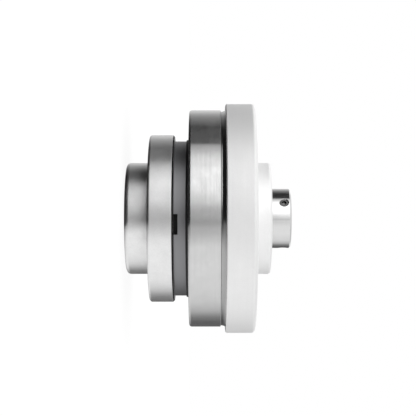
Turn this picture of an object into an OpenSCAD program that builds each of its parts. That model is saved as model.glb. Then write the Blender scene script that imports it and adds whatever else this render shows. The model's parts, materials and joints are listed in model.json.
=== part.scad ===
// Strain wave gear unit with a hollow shaft, a hat-shaped flexspline and a cross-roller output
// bearing. The gear axis is Z. Z = 0 is the end face of the output hub, and the input shaft
// points to +Z. Millimetres.

/* [Output flange and hub] */
// Diameter of the hub on the output side
output_hub_d = 36; // [35.6:0.1:37]
// Length of the output hub
output_hub_len = 7.5; // [7:0.1:8]
// Diameter of the output flange
output_flange_d = 54; // [53:0.1:55]
// Thickness of the output flange
output_flange_t = 8; // [7.6:0.1:8.4]
// Rounding of the output hub's end corner
output_hub_round = 1.4; // [0.5:0.1:1.8]
// Rounding of the output flange's outer corner
output_flange_round = 1.2; // [0.5:0.1:1.5]
// Circle on which the output holes lie
output_pcd = 45; // [44.6:0.1:45.4]
// Number of tapped output holes
output_holes = 8; // [8]
// Diameter of a tapped output hole
output_hole_d = 2.5; // [2:0.1:3]
// Depth of a tapped output hole
output_hole_depth = 6; // [4:0.5:7]

/* [Circular spline] */
// Outer diameter of the circular spline
spline_d = 50; // [49.6:0.1:50.4]
// Width of the circular spline
spline_w = 6; // [5.8:0.1:6.2]
// Length of the pry notch round the spline
notch_len = 6.3; // [3:0.1:8]
// Width of the pry notch along the axis
notch_w = 1.4; // [0.8:0.1:1.8]
// Radial depth of the pry notch
notch_depth = 2.5; // [0.5:0.1:3]
// Place of the pry notch round the axis, in degrees
notch_angle = 273.7; // [260:0.1:280]

/* [Teeth] */
// Number of teeth on the flexspline, two fewer than on the circular spline
flex_teeth = 100; // [100]
// Radial travel of the wave, half of the oval's swing
wave = 0.366; // [0.35:0.002:0.37]
// Inner radius of the flexspline at rest on a circle
flex_bore_r = 17.82; // [17.8:0.01:17.84]
// Wall of the flexspline's sleeve
flex_wall = 0.26; // [0.22:0.01:0.3]
// Root radius of the flexspline's teeth
flex_root_r = 18.18; // [18.16:0.01:18.19]
// Tip radius of the flexspline's teeth
flex_tip_r = 18.76; // [18.7:0.01:18.8]
// Tip radius of the circular spline's teeth
spline_tip_r = 18.62; // [18.6:0.01:18.66]
// Root radius of the circular spline's teeth
spline_root_r = 19.28; // [19.22:0.01:19.4]
// Width of a flexspline tooth at its root
flex_tooth_root_w = 0.6; // [0.5:0.01:0.62]
// Width of a flexspline tooth at its tip
flex_tooth_tip_w = 0.28; // [0.2:0.01:0.3]
// Width of a circular spline tooth at its tip
spline_tooth_tip_w = 0.34; // [0.28:0.01:0.36]
// Width of a circular spline tooth at its root
spline_tooth_root_w = 0.66; // [0.6:0.01:0.7]

/* [Cross-roller bearing] */
// Outer diameter of the main ring
ring_d = 70; // [69.6:0.1:70.4]
// Width of the main ring
ring_w = 10.1; // [9.9:0.1:10.3]
// Distance of the rollers' plane from the main ring's front face
roller_inset = 5.2; // [5:0.1:5.4]
// Length of the spline that the bearing's front covers
spline_cover = 2.2; // [2:0.1:2.4]
// Gap along the axis that the black seal fills in front of the main ring
seal_lip_w = 0.9; // [0.7:0.1:1.1]
// Rounding of the main ring's front corner
ring_round = 0.8; // [0.4:0.1:1]
// Pitch diameter of the rollers
roller_pcd = 53.4; // [53.2:0.1:53.6]
// Diameter of a roller
roller_d = 2.8; // [2.6:0.02:2.84]
// Number of rollers, alternately crossed
rollers = 36; // [32:2:36]
// Thickness of a spacer between two rollers
roller_spacer_t = 1.2; // [0.8:0.1:1.3]

/* [Input flange and hub] */
// Diameter of the input flange
input_flange_d = 74; // [73.6:0.1:74.4]
// Thickness of the input flange
input_flange_t = 9.2; // [9:0.1:9.4]
// Diameter of the hub on the input side
input_hub_d = 36; // [35.6:0.1:37]
// Length of the input hub
input_hub_len = 5.1; // [4.9:0.1:5.3]
// Rounding of the input flange's outer corner
input_flange_round = 1.2; // [0.5:0.1:1.5]
// Rounding of the input hub's end corner
input_hub_round = 0.9; // [0.3:0.1:1.2]
// Thickness of the flexspline's brim
brim_t = 1.7; // [1.5:0.1:1.8]
// Diameter of the flexspline's brim
brim_d = 69; // [68.6:0.1:69.4]
// Circle on which the housing holes lie
housing_pcd = 62; // [61.8:0.1:62.4]
// Number of through holes for mounting the housing
housing_holes = 8; // [8]
// Diameter of a mounting hole in the housing
housing_hole_d = 3.4; // [3.2:0.1:3.5]
// Number of screws that hold the housing together
housing_screw_count = 4; // [4]
// Depth of the register that the brim sits in
seat_step = 0.2; // [0.1:0.05:0.3]

/* [Hollow shaft] */
// Diameter of the through bore
shaft_bore_d = 14; // [13.6:0.1:14.2]
// Diameter of the shaft's free end
shaft_end_d = 19.2; // [19:0.1:19.4]
// Diameter of the shaft's bearing seats
shaft_seat_d = 20; // [20]
// How far the shaft stands out of the input hub
shaft_stick_out = 6.5; // [6.2:0.1:7]
// How far the shaft's other end lies inside the output hub
shaft_recess = 0.4; // [0.2:0.1:0.6]
// Chamfer on the shaft's ends
shaft_chamfer = 0.5; // [0.3:0.1:0.6]
// Base radius of the cam, without the wave
cam_r = 12.53; // [12.5:0.01:12.56]
// Number of set screws round the shaft's end
set_screws = 3; // [3]
// Diameter of a set screw
set_screw_d = 2.7; // [2.5:0.1:2.8]
// Distance of the set screws from the shaft's end
set_screw_edge = 2.35; // [2.2:0.05:2.8]
// Place of the first set screw round the axis, in degrees
set_screw_angle = 237.6; // [230:0.1:245]

/* [Bearings and seals] */
// Outer diameter of the two shaft bearings
bearing_d = 32; // [31.8:0.1:32]
// Width of a shaft bearing
bearing_w = 7; // [6.8:0.1:7]
// Diameter of a ball in the shaft bearings
ball_d = 3.5; // [3.4:0.05:3.5]
// Number of balls in a shaft bearing
balls = 13; // [9:1:14]
// Diameter of a ball in the flexible bearing
flex_ball_d = 3; // [2.9:0.05:3]
// Number of balls in the flexible bearing
flex_balls = 23; // [17:2:23]
// Outer diameter of the two shaft seals
shaft_seal_d = 30; // [29.6:0.1:30.2]
// Width of a shaft seal
shaft_seal_w = 3.5; // [3.2:0.1:3.6]

/* [Screws] */
// Thread diameter of an output screw
output_screw_d = 3; // [2.8:0.1:3]
// Head diameter of an output screw
output_head_d = 5.5; // [5:0.1:5.6]
// Head height of an output screw
output_head_h = 3; // [2.6:0.1:3.1]
// Shank length of an output screw
output_screw_len = 18; // [17:0.5:18]
// Thread diameter of a housing screw
housing_screw_d = 2; // [1.8:0.1:2.2]
// Head diameter of a housing screw
housing_head_d = 3.8; // [3.4:0.1:4]
// Head height of a housing screw
housing_head_h = 2; // [1.8:0.1:2.2]
// Shank length of a housing screw
housing_screw_len = 12; // [11:0.5:14]
// Width across flats of an output screw's socket
output_socket = 2.5; // [2:0.1:2.6]
// Width across flats of a housing screw's socket
housing_socket = 1.5; // [1.3:0.1:1.6]
// Width across flats of a set screw's socket
set_screw_socket = 1.5; // [1.2:0.1:1.6]

/* [Hidden] */
$fn = 64;

// Clearances: between running pieces, between seated pieces, round screws and in free space
running = 0.02;
seat_play = 0.01;
hole_play = 0.1;
head_play = 0.15;
thread_play = 0.02;
lip_play = 0.05;
flex_play = 0.05;
loose = 0.3;
// Amount by which a cutting tool runs past the surface it opens
past = 0.5;
// Steps round the oval of a wave ring
WAVE_STEPS = 72;

// Stations along the axis, from the output hub's face to the shaft's end
z_flange = output_hub_len;
z_spline = z_flange + output_flange_t;
z_spline_end = z_spline + spline_w;
z_seal = z_spline_end - spline_cover;
z_ring = z_seal + seal_lip_w;
z_brim = z_ring + ring_w;
z_input = z_brim + brim_t;
z_input_hub = z_input + input_flange_t;
z_input_end = z_input_hub + input_hub_len;
z_shaft_end = z_input_end + shaft_stick_out;

// Cross-roller bearing
roller_pitch_r = roller_pcd / 2;
roller_len = roller_d - 0.1;
roller_groove = roller_d + 2 * running;
z_rollers = z_ring + roller_inset;
ring_gap = 0.4;
inner_ring_r = roller_pitch_r - ring_gap / 2;
outer_ring_bore_r = roller_pitch_r + ring_gap / 2;
inner_ring_bore_r = spline_root_r + 1.12;
z_inner_ring_end = z_brim - 0.7;
seal_pocket_r = 28.6;
seal_body_w = 1.1;
spacer_side = 2.3;

// Shaft bearings and their seats
seat_r = shaft_seat_d / 2;
bearing_r = bearing_d / 2;
ball_pitch_r = (seat_r + bearing_r) / 2;
inner_land_r = ball_pitch_r - 0.9;
outer_land_r = ball_pitch_r + 0.9;
shield_r = ball_pitch_r + 1.9;
shield_t = 0.3;
shield_inset = 0.1;
cage_half = 0.55;
cage_w = 4.4;
shoulder_r = 11.5;
seal_inset = 0.6;
web_t = 0.9;
web_r = 14.5;
z_output_seal = seal_inset;
z_output_bearing = z_output_seal + shaft_seal_w + web_t;
z_input_seal = z_input_end - seal_inset - shaft_seal_w;
z_input_bearing = z_input_seal - web_t - bearing_w;
circlip_t = 1;
circlip_w = 2.1;
circlip_groove = 0.75;
clip_gap = 40;
shaft_clip_t = 0.6;
shaft_clip_r = 11.6;
shaft_groove_r = 9.4;

// Cam, flexible bearing and toothed zone
z_cam = z_spline + 0.1;
z_cam_end = z_cam + 5.8;
cam_shoulder_w = 1.6;
cam_shoulder_r = 13.4;
cam_core_r = cam_r - 0.7;
z_flex_balls = (z_cam + z_cam_end) / 2;
flex_race_w = 5.2;
cage_bore = 3;
flex_race_r = flex_bore_r - 2 * running;
flex_inner_r = cam_r + running;
flex_ball_pitch_r = (flex_inner_r + flex_race_r) / 2;
race_land = 0.75;
flex_cage_half = 0.58;
flex_cage_w = 4.2;
washer_t = 0.7;
washer_r = 13.2;
z_rim = z_spline + loose;
collar_w = 0.8;
collar_step = 0.1;
joint_lap = 0.2;
z_sleeve_top = z_brim - 2;
diaphragm_t = 0.35;
brim_bore_r = 27.2;
corner_r = 0.8;
spline_teeth = flex_teeth + 2;

// Screws and pins
output_screw_r = output_pcd / 2;
z_output_screw = z_flange + output_head_h + 0.1;
housing_screw_r = housing_pcd / 2;
z_housing_screw = z_input_hub - housing_head_h - 0.1;
screw_angle = 22.5;
head_edge = 0.25;
screw_end_play = 0.3;
pin_d = 2;
pin_len = 8;
z_pins = z_spline - pin_len / 2;
pin_angle = 11.25;
z_set_screws = z_shaft_end - set_screw_edge;
set_screw_len = 2.2;
set_screw_tip = 0.15;
set_hole_len = 4;
countersink = 0.25;

// O-rings
o_ring_d = 0.7;
o_groove_depth = o_ring_d + 0.04;
o_groove_w = 0.9;
output_o_ring_r = spline_root_r + 1.12;
housing_o_ring_r = 28.3;

STEEL = "#b8bac0";
GROUND_STEEL = "#cfd2d6";
DARK_STEEL = "#5a5c60";
PALE_ALUMINIUM = "#e4e5e8";
RUBBER = "#1c1c1e";
BRASS = "#b89b54";
SCREW_BLACK = "#2a2a2c";

// ---------------------------------------------------------------- helpers

// A solid of revolution from a list of [radius, height] points
module turned(points, fn = 96) {
    rotate_extrude($fn = fn) polygon(points);
}

// A plain ring between two heights
module ring(r_in, r_out, z0, z1, fn = 96) {
    turned([[r_in, z0], [r_out, z0], [r_out, z1], [r_in, z1]], fn);
}

// Points of a quarter round from angle a0 to a1 about a centre
function arc(cx, cy, r, a0, a1, steps = 6) =
    [for (i = [0 : steps]) let (a = a0 + (a1 - a0) * i / steps) [cx + r * cos(a), cy + r * sin(a)]];

// Copies of a child, evenly spaced round the axis
module around(count, radius, first = 0) {
    for (i = [0 : count - 1]) rotate([0, 0, first + 360 * i / count]) translate([radius, 0, 0]) children();
}

// A hole or a shank along the axis
module rod(d, z0, z1, fn = 32) {
    translate([0, 0, z0]) cylinder(d = d, h = z1 - z0, $fn = fn);
}

// Radial swing of the wave at an angle round the gear
function swing(a) = wave * cos(2 * a);

// Slip of the wave along the rim at an angle, as an angle at a radius
function slip(a, r) = -wave / 2 * sin(2 * a) / r * 180 / PI;

// An oval of the wave about a base radius
function oval(r) = [for (i = [0 : WAVE_STEPS - 1]) let (a = 360 * i / WAVE_STEPS)
    (r + swing(a)) * [cos(a), sin(a)]];

// A ring between two ovals of the same wave
module oval_ring(r_in, r_out, z0, z1) {
    translate([0, 0, z0]) linear_extrude(z1 - z0) difference() {
        polygon(oval(r_out));
        polygon(oval(r_in));
    }
}

// ---------------------------------------------------------------- teeth

// One tooth's flank points, given as [radius, half width] pairs, placed at an angle
function tooth(profile, angle, lift = 0) =
    [for (p = profile) let (r = p[0] + lift, a = angle + p[1] / p[0] * 180 / PI) r * [cos(a), sin(a)]];

// Flexspline tooth: root, rounded flank and tip, then the same mirrored
function flex_profile() =
    let (h = flex_tip_r - flex_root_r, a = flex_tooth_root_w / 2, b = flex_tooth_tip_w / 2)
    [[flex_root_r, -a], [flex_root_r + 0.55 * h, -(0.4 * a + 0.6 * b)], [flex_tip_r, -b],
     [flex_tip_r, b], [flex_root_r + 0.55 * h, 0.4 * a + 0.6 * b], [flex_root_r, a]];

// Circular spline tooth, pointing inwards
function spline_profile() =
    let (h = spline_root_r - spline_tip_r, a = spline_tooth_root_w / 2, b = spline_tooth_tip_w / 2)
    [[spline_root_r, -a], [spline_tip_r + 0.5 * h, -(0.4 * a + 0.6 * b)], [spline_tip_r, -b],
     [spline_tip_r, b], [spline_tip_r + 0.5 * h, 0.4 * a + 0.6 * b], [spline_root_r, a]];

// Flexspline outline: each tooth is lifted and slipped by the wave where it stands
function flex_outline() =
    [for (i = [0 : flex_teeth - 1])
        let (a = 360 * i / flex_teeth)
        each tooth(flex_profile(), a + slip(a, flex_bore_r), swing(a))];

// Circular spline outline: a tooth space stands at angle 0
function spline_outline() =
    [for (i = [0 : spline_teeth - 1]) each tooth(spline_profile(), 360 * (i + 0.5) / spline_teeth)];

// ---------------------------------------------------------------- shared pieces

// A closed band swept round the gear from [radius, height, share of the wave] points
module oval_sweep(profile) {
    n = len(profile);
    points = [for (i = [0 : WAVE_STEPS - 1], p = profile)
        let (a = 360 * i / WAVE_STEPS, r = p[0] + p[2] * swing(a)) [r * cos(a), r * sin(a), p[1]]];
    faces = [for (i = [0 : WAVE_STEPS - 1], j = [0 : n - 1])
        let (k = (i + 1) % WAVE_STEPS, m = (j + 1) % n,
             p = i * n + j, q = i * n + m, r = k * n + m, s = k * n + j)
        each [[p, q, r], [p, r, s]]];
    polyhedron(points, faces, convexity = 6);
}

// A torus of round section
module torus(r, d, z, fn = 24) {
    rotate_extrude($fn = 96) translate([r, z]) circle(d = d, $fn = fn);
}

// Ring cut through at one side, for circlips
module clip(r_in, r_out, z0, z1) {
    rotate([0, 0, clip_gap / 2]) rotate_extrude(angle = 360 - clip_gap, $fn = 96)
        translate([r_in, z0]) square([r_out - r_in, z1 - z0]);
}

// Cap screw with a hexagon socket: head above the seat at z = 0, shank below
module cap_screw(d, head_d, head_h, len, socket) {
    r = d / 2;
    hr = head_d / 2;
    e = head_edge;
    difference() {
        turned([[0, -len], [r - e, -len], [r, e - len], [r, 0], [hr, 0], [hr, head_h - e],
            [hr - e, head_h], [0, head_h]], 32);
        translate([0, 0, head_h / 2]) cylinder(d = socket / cos(30), h = head_h, $fn = 6);
    }
}

// Outer or inner ring of a shaft bearing between two radii, with its ball groove
module grooved_ring(r_in, r_out, z0) {
    difference() {
        ring(r_in, r_out, z0, z0 + bearing_w);
        torus(ball_pitch_r, ball_d + 2 * running, z0 + bearing_w / 2, 48);
    }
}

// Outer ring of a shaft bearing, stepped at both ends for the shields
module shaft_bearing_outer(z0) {
    difference() {
        grooved_ring(outer_land_r, bearing_r - seat_play, z0);
        for (z = [z0 - past, z0 + bearing_w - shield_t - shield_inset])
            rod(2 * shield_r, z, z + shield_t + shield_inset + past, 96);
    }
}

// The two shields of a shaft bearing
module shaft_bearing_shields(z0) {
    for (z = [z0 + shield_inset, z0 + bearing_w - shield_inset - shield_t])
        ring(inner_land_r + 0.2, shield_r - seat_play, z, z + shield_t);
}

// The balls of a shaft bearing
module shaft_bearing_balls(z0) {
    translate([0, 0, z0 + bearing_w / 2]) around(balls, ball_pitch_r) sphere(d = ball_d, $fn = 32);
}

// The cage of a shaft bearing, with a pocket round each ball
module shaft_bearing_cage(z0) {
    zc = z0 + bearing_w / 2;
    difference() {
        ring(ball_pitch_r - cage_half, ball_pitch_r + cage_half, zc - cage_w / 2, zc + cage_w / 2);
        translate([0, 0, zc]) around(balls, ball_pitch_r)
            rotate([0, 90, 0]) cylinder(d = ball_d + 2 * hole_play, h = cage_bore, center = true, $fn = 32);
    }
}

// Lip seal: outer face at z = 0, lip towards +Z
module shaft_seal() {
    r = shaft_seal_d / 2 - seat_play;
    lip = seat_r + lip_play;
    turned([[lip + 0.8, 0], [r, 0], [r, shaft_seal_w], [r - 0.9, shaft_seal_w], [r - 0.9, 0.9],
        [lip + 1.9, 0.9], [lip + 1.35, 1.9], [lip + 1.35, 3.1], [lip + 0.5, 3.1], [lip, 2.4]]);
}

// Garter spring on the back of the seal's lip
module seal_spring() {
    torus(seat_r + lip_play + 1.35 + 0.32, 0.6, 2.6, 16);
}

// Diamond-shaped groove that the crossed rollers run in
module roller_groove() {
    rotate_extrude($fn = 96) translate([roller_pitch_r, z_rollers]) rotate(45)
        square(roller_groove, center = true);
}

// Holes on the housing's bolt circle: mounting holes and screws between them
module housing_mounting_holes() {
    around(housing_holes, housing_screw_r) rod(housing_hole_d, z_ring - past, z_input_hub + past);
}

// ---------------------------------------------------------------- housing side

module input_flange() {
    r = input_flange_d / 2;
    hub_r = input_hub_d / 2;
    z_rim_face = z_input - seat_step;
    color(PALE_ALUMINIUM) difference() {
        turned(concat(
            [[web_r, z_rim_face], [r - 0.3, z_rim_face], [r, z_rim_face + 0.3]],
            arc(r - input_flange_round, z_input_hub - input_flange_round, input_flange_round, 0, 90),
            [[hub_r, z_input_hub]],
            arc(hub_r - input_hub_round, z_input_end - input_hub_round, input_hub_round, 0, 90),
            [[web_r, z_input_end]]));
        rod(ring_d + 2 * hole_play, z_rim_face - past, z_input, 96);
        rod(bearing_d, z_input - past, z_input_bearing + bearing_w, 96);
        rod(bearing_d + 2 * circlip_groove, z_input_bearing - circlip_t - 0.05, z_input_bearing, 96);
        rod(shaft_seal_d, z_input_seal, z_input_end + past, 96);
        ring(bearing_r - past, brim_bore_r - 1, z_input - past, z_input + 0.8);
        ring(housing_o_ring_r - o_groove_w / 2, housing_o_ring_r + o_groove_w / 2,
            z_input - past, z_input + o_groove_depth);
        housing_mounting_holes();
        around(housing_screw_count, housing_screw_r, screw_angle) {
            rod(housing_screw_d + 2 * hole_play, z_input - past, z_input_hub);
            rod(housing_head_d + 2 * head_play, z_housing_screw, z_input_hub + past);
        }
    }
}

// Toothed rim and collar follow the wave, and the sleeve fades from the oval to a true circle
module flexspline() {
    r_in = flex_bore_r;
    r_out = flex_bore_r + flex_wall;
    color(STEEL) difference() {
        union() {
            translate([0, 0, z_rim]) linear_extrude(z_spline_end - z_rim) difference() {
                polygon(flex_outline());
                polygon(oval(r_in));
            }
            oval_ring(r_in - collar_step, flex_root_r - 0.04, z_spline_end - joint_lap,
                z_spline_end + collar_w);
            oval_sweep([[r_in, z_spline_end + 0.3, 1], [r_out, z_spline_end + 0.3, 1],
                [r_out, z_sleeve_top + 0.4, 0], [r_in, z_sleeve_top + 0.4, 0]]);
            turned(concat(
                [[r_in - collar_step, z_sleeve_top], [r_out + collar_step, z_sleeve_top]],
                arc(r_out + collar_step + corner_r, z_brim - corner_r, corner_r, 180, 90),
                [[brim_d / 2, z_brim], [brim_d / 2, z_input], [brim_bore_r, z_input],
                 [brim_bore_r - 0.8, z_brim + diaphragm_t], [r_out + corner_r, z_brim + diaphragm_t],
                 [r_in - collar_step, z_brim - 0.5]]));
        }
        housing_mounting_holes();
        around(housing_screw_count, housing_screw_r, screw_angle)
            rod(housing_screw_d + 2 * hole_play, z_brim - past, z_input + past);
    }
}

module bearing_outer_ring() {
    r = ring_d / 2;
    color(GROUND_STEEL) difference() {
        turned(concat(
            [[outer_ring_bore_r, z_ring]],
            arc(r - ring_round, z_ring + ring_round, ring_round, -90, 0),
            [[r, z_brim - 0.2], [r - 0.2, z_brim], [outer_ring_bore_r, z_brim]]));
        roller_groove();
        rod(2 * seal_pocket_r, z_ring - past, z_ring + seal_body_w, 96);
        ring(housing_o_ring_r - o_groove_w / 2, housing_o_ring_r + o_groove_w / 2,
            z_brim - o_groove_depth, z_brim + past);
        housing_mounting_holes();
        around(housing_screw_count, housing_screw_r, screw_angle)
            rod(housing_screw_d + 2 * thread_play, z_housing_screw - housing_screw_len - screw_end_play,
                z_brim + past);
    }
}

module bearing_seal() {
    lip = spline_d / 2 + lip_play;
    r = seal_pocket_r - seat_play;
    color(RUBBER) turned([[lip, z_seal], [lip + 0.3, z_seal], [lip + 0.5, z_ring - 0.2],
        [r - 0.6, z_ring], [r, z_ring], [r, z_ring + seal_body_w], [lip + 0.9, z_ring + seal_body_w],
        [lip, z_ring + 0.2]]);
}

module housing_screws() {
    color(SCREW_BLACK) translate([0, 0, z_housing_screw])
        around(housing_screw_count, housing_screw_r, screw_angle)
            cap_screw(housing_screw_d, housing_head_d, housing_head_h, housing_screw_len, housing_socket);
}

module ring_o_ring() {
    color(RUBBER) torus(housing_o_ring_r, o_ring_d, z_brim - o_groove_depth / 2);
}

module flange_o_ring() {
    color(RUBBER) torus(housing_o_ring_r, o_ring_d, z_input + o_groove_depth / 2);
}

module input_bearing_outer_ring() {
    color(STEEL) shaft_bearing_outer(z_input_bearing);
}

module input_bearing_shields() {
    color(STEEL) shaft_bearing_shields(z_input_bearing);
}

module input_bearing_circlip() {
    r = bearing_r + circlip_groove - running;
    color(DARK_STEEL) clip(r - circlip_w, r, z_input_bearing - circlip_t, z_input_bearing);
}

module input_shaft_seal() {
    color(RUBBER) translate([0, 0, z_input_seal + shaft_seal_w]) mirror([0, 0, 1]) shaft_seal();
}

module input_seal_spring() {
    color(STEEL) translate([0, 0, z_input_seal + shaft_seal_w]) mirror([0, 0, 1]) seal_spring();
}

// ---------------------------------------------------------------- output side

module output_flange() {
    r = output_flange_d / 2;
    hub_r = output_hub_d / 2;
    color(PALE_ALUMINIUM) difference() {
        turned(concat(
            [[web_r, 0]],
            arc(hub_r - output_hub_round, output_hub_round, output_hub_round, -90, 0),
            [[hub_r, z_flange]],
            arc(r - output_flange_round, z_flange + output_flange_round, output_flange_round, -90, 0),
            [[r, z_spline - 0.5], [r - 0.5, z_spline], [web_r, z_spline]]));
        rod(shaft_seal_d, -past, z_output_seal + shaft_seal_w, 96);
        rod(bearing_d, z_output_bearing, z_spline + past, 96);
        rod(bearing_d + 2 * circlip_groove, z_output_bearing + bearing_w,
            z_output_bearing + bearing_w + circlip_t + 0.05, 96);
        ring(output_o_ring_r - o_groove_w / 2, output_o_ring_r + o_groove_w / 2,
            z_spline - o_groove_depth, z_spline + past);
        around(output_holes, output_screw_r)
            rod(output_hole_d, z_flange - past, z_flange + output_hole_depth);
        around(output_holes, output_screw_r, screw_angle) {
            rod(output_screw_d + 2 * hole_play, z_flange, z_spline + past);
            rod(output_head_d + 2 * head_play, z_flange - past, z_output_screw);
        }
        around(2, output_screw_r, pin_angle) rod(pin_d + 2 * seat_play, z_pins, z_spline + past);
    }
}

module circular_spline() {
    r = spline_d / 2;
    color(DARK_STEEL) difference() {
        turned([[0, z_spline], [r - 0.2, z_spline], [r, z_spline + 0.2], [r, z_spline_end - 0.2],
            [r - 0.2, z_spline_end], [0, z_spline_end]]);
        translate([0, 0, z_spline - past]) linear_extrude(spline_w + 2 * past)
            polygon(spline_outline());
        around(output_holes, output_screw_r, screw_angle)
            rod(output_screw_d + 2 * hole_play, z_spline - past, z_spline_end + past);
        around(2, output_screw_r, pin_angle)
            rod(pin_d + 2 * seat_play, z_spline - past, z_pins + pin_len);
        rotate([0, 0, notch_angle]) translate([r - notch_depth, -notch_len / 2, z_spline - past])
            cube([notch_depth + past, notch_len, notch_w + past]);
    }
}

module bearing_inner_ring_front() {
    color(STEEL) difference() {
        ring(inner_ring_bore_r, inner_ring_r, z_spline_end, z_rollers);
        roller_groove();
        around(output_holes, output_screw_r, screw_angle)
            rod(output_screw_d + 2 * hole_play, z_spline_end - past, z_rollers + past);
    }
}

module bearing_inner_ring_rear() {
    color(STEEL) difference() {
        ring(inner_ring_bore_r, inner_ring_r, z_rollers, z_inner_ring_end);
        roller_groove();
        around(output_holes, output_screw_r, screw_angle)
            rod(output_screw_d + 2 * thread_play, z_rollers - past,
                z_output_screw + output_screw_len + screw_end_play);
    }
}

module output_screws() {
    color(SCREW_BLACK) translate([0, 0, z_output_screw])
        around(output_holes, output_screw_r, screw_angle) mirror([0, 0, 1])
            cap_screw(output_screw_d, output_head_d, output_head_h, output_screw_len, output_socket);
}

module locating_pins() {
    color(STEEL) around(2, output_screw_r, pin_angle) rod(pin_d, z_pins, z_pins + pin_len);
}

module output_o_ring() {
    color(RUBBER) torus(output_o_ring_r, o_ring_d, z_spline - o_groove_depth / 2);
}

module output_bearing_outer_ring() {
    color(STEEL) shaft_bearing_outer(z_output_bearing);
}

module output_bearing_shields() {
    color(STEEL) shaft_bearing_shields(z_output_bearing);
}

module output_bearing_circlip() {
    r = bearing_r + circlip_groove - running;
    z0 = z_output_bearing + bearing_w;
    color(DARK_STEEL) clip(r - circlip_w, r, z0, z0 + circlip_t);
}

module output_shaft_seal() {
    color(RUBBER) translate([0, 0, z_output_seal]) shaft_seal();
}

module output_seal_spring() {
    color(STEEL) translate([0, 0, z_output_seal]) seal_spring();
}

// ---------------------------------------------------------------- input side

// Shaft and cam are one piece: the cam is an oval of the wave
module hollow_shaft() {
    bore_r = shaft_bore_d / 2;
    end_r = shaft_end_d / 2;
    c = shaft_chamfer;
    z_step = z_input_seal + shaft_seal_w + 0.2;
    color(GROUND_STEEL) difference() {
        union() {
            turned([[bore_r + c, shaft_recess], [seat_r - c, shaft_recess], [seat_r, shaft_recess + c],
                [seat_r, z_cam + joint_lap], [cam_core_r, z_cam + joint_lap], [cam_core_r, z_cam_end],
                [cam_shoulder_r, z_cam_end], [cam_shoulder_r, z_cam_end + cam_shoulder_w],
                [shoulder_r, z_cam_end + cam_shoulder_w], [shoulder_r, z_input_bearing],
                [seat_r, z_input_bearing], [seat_r, z_step], [end_r, z_step],
                [end_r, z_shaft_end - c], [end_r - c, z_shaft_end], [bore_r + c, z_shaft_end],
                [bore_r, z_shaft_end - c], [bore_r, shaft_recess + c]]);
            translate([0, 0, z_cam]) linear_extrude(z_cam_end - z_cam + joint_lap) difference() {
                polygon(oval(cam_r));
                circle(r = seat_r - 1, $fn = 96);
            }
        }
        for (z = [z_output_bearing - shaft_clip_t, z_input_bearing + bearing_w])
            ring(shaft_groove_r, seat_r + past, z, z + shaft_clip_t);
        translate([0, 0, z_set_screws]) rotate([0, 0, set_screw_angle]) around(set_screws, 0)
            rotate([0, 90, 0]) {
                translate([0, 0, bore_r - past])
                    cylinder(d = set_screw_d + 2 * thread_play, h = set_hole_len, $fn = 32);
                translate([0, 0, end_r - countersink])
                    cylinder(d1 = set_screw_d, d2 = set_screw_d + 4 * countersink, h = 2 * countersink);
            }
    }
}

module output_bearing_inner_ring() {
    color(STEEL) grooved_ring(seat_r + seat_play, inner_land_r, z_output_bearing);
}

module input_bearing_inner_ring() {
    color(STEEL) grooved_ring(seat_r + seat_play, inner_land_r, z_input_bearing);
}

module cam_spacer() {
    color(STEEL) ring(seat_r + seat_play, shoulder_r, z_output_bearing + bearing_w, z_cam - washer_t);
}

module thrust_washer() {
    color(BRASS) ring(seat_r + seat_play, washer_r, z_cam - washer_t, z_cam);
}

// Groove round a row of flexible bearing balls, as [radius, height, share of the wave] points
function race_groove(a0, a1) =
    [for (p = arc(flex_ball_pitch_r, z_flex_balls, flex_ball_d / 2 + flex_play, a0, a1, 7))
        [p[0], p[1], 1]];

module flexible_bearing_inner_race() {
    land = flex_ball_pitch_r - race_land;
    a = acos(race_land / (flex_ball_d / 2 + flex_play));
    color(STEEL) oval_sweep(concat(
        [[flex_inner_r, z_cam, 1], [land, z_cam, 1]],
        race_groove(180 + a, 180 - a),
        [[land, z_cam_end, 1], [flex_inner_r, z_cam_end, 1]]));
}

module flexible_bearing_outer_race() {
    land = flex_ball_pitch_r + race_land;
    z0 = z_flex_balls - flex_race_w / 2;
    a = acos(race_land / (flex_ball_d / 2 + flex_play));
    color(STEEL) oval_sweep(concat(
        [[land, z0, 1], [flex_race_r, z0, 1], [flex_race_r, z0 + flex_race_w, 1],
         [land, z0 + flex_race_w, 1]],
        race_groove(a, -a)));
}

// Places of the flexible bearing's balls, carried along by the wave
module at_flex_balls() {
    for (i = [0 : flex_balls - 1]) let (a = 360 * i / flex_balls)
        rotate([0, 0, a + slip(a, flex_ball_pitch_r)])
            translate([flex_ball_pitch_r + swing(a), 0, z_flex_balls]) children();
}

module flexible_bearing_balls() {
    color(STEEL) at_flex_balls() sphere(d = flex_ball_d, $fn = 32);
}

module flexible_bearing_cage() {
    color(BRASS) difference() {
        oval_ring(flex_ball_pitch_r - flex_cage_half, flex_ball_pitch_r + flex_cage_half,
            z_flex_balls - flex_cage_w / 2, z_flex_balls + flex_cage_w / 2);
        at_flex_balls() rotate([0, 90, 0])
            cylinder(d = flex_ball_d + 2 * hole_play, h = cage_bore, center = true, $fn = 32);
    }
}

module shaft_circlips() {
    color(DARK_STEEL) for (z = [z_output_bearing - shaft_clip_t, z_input_bearing + bearing_w])
        clip(shaft_groove_r + running, shaft_clip_r, z, z + shaft_clip_t);
}

module clamp_set_screws() {
    r0 = shaft_bore_d / 2 + set_screw_tip;
    color(SCREW_BLACK) translate([0, 0, z_set_screws]) rotate([0, 0, set_screw_angle])
        around(set_screws, 0) rotate([0, 90, 0]) difference() {
            translate([0, 0, r0]) cylinder(d = set_screw_d, h = set_screw_len, $fn = 32);
            translate([0, 0, r0 + set_screw_len / 2])
                cylinder(d = set_screw_socket / cos(30), h = set_screw_len, $fn = 6);
        }
}

// ---------------------------------------------------------------- rolling sets

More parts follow.
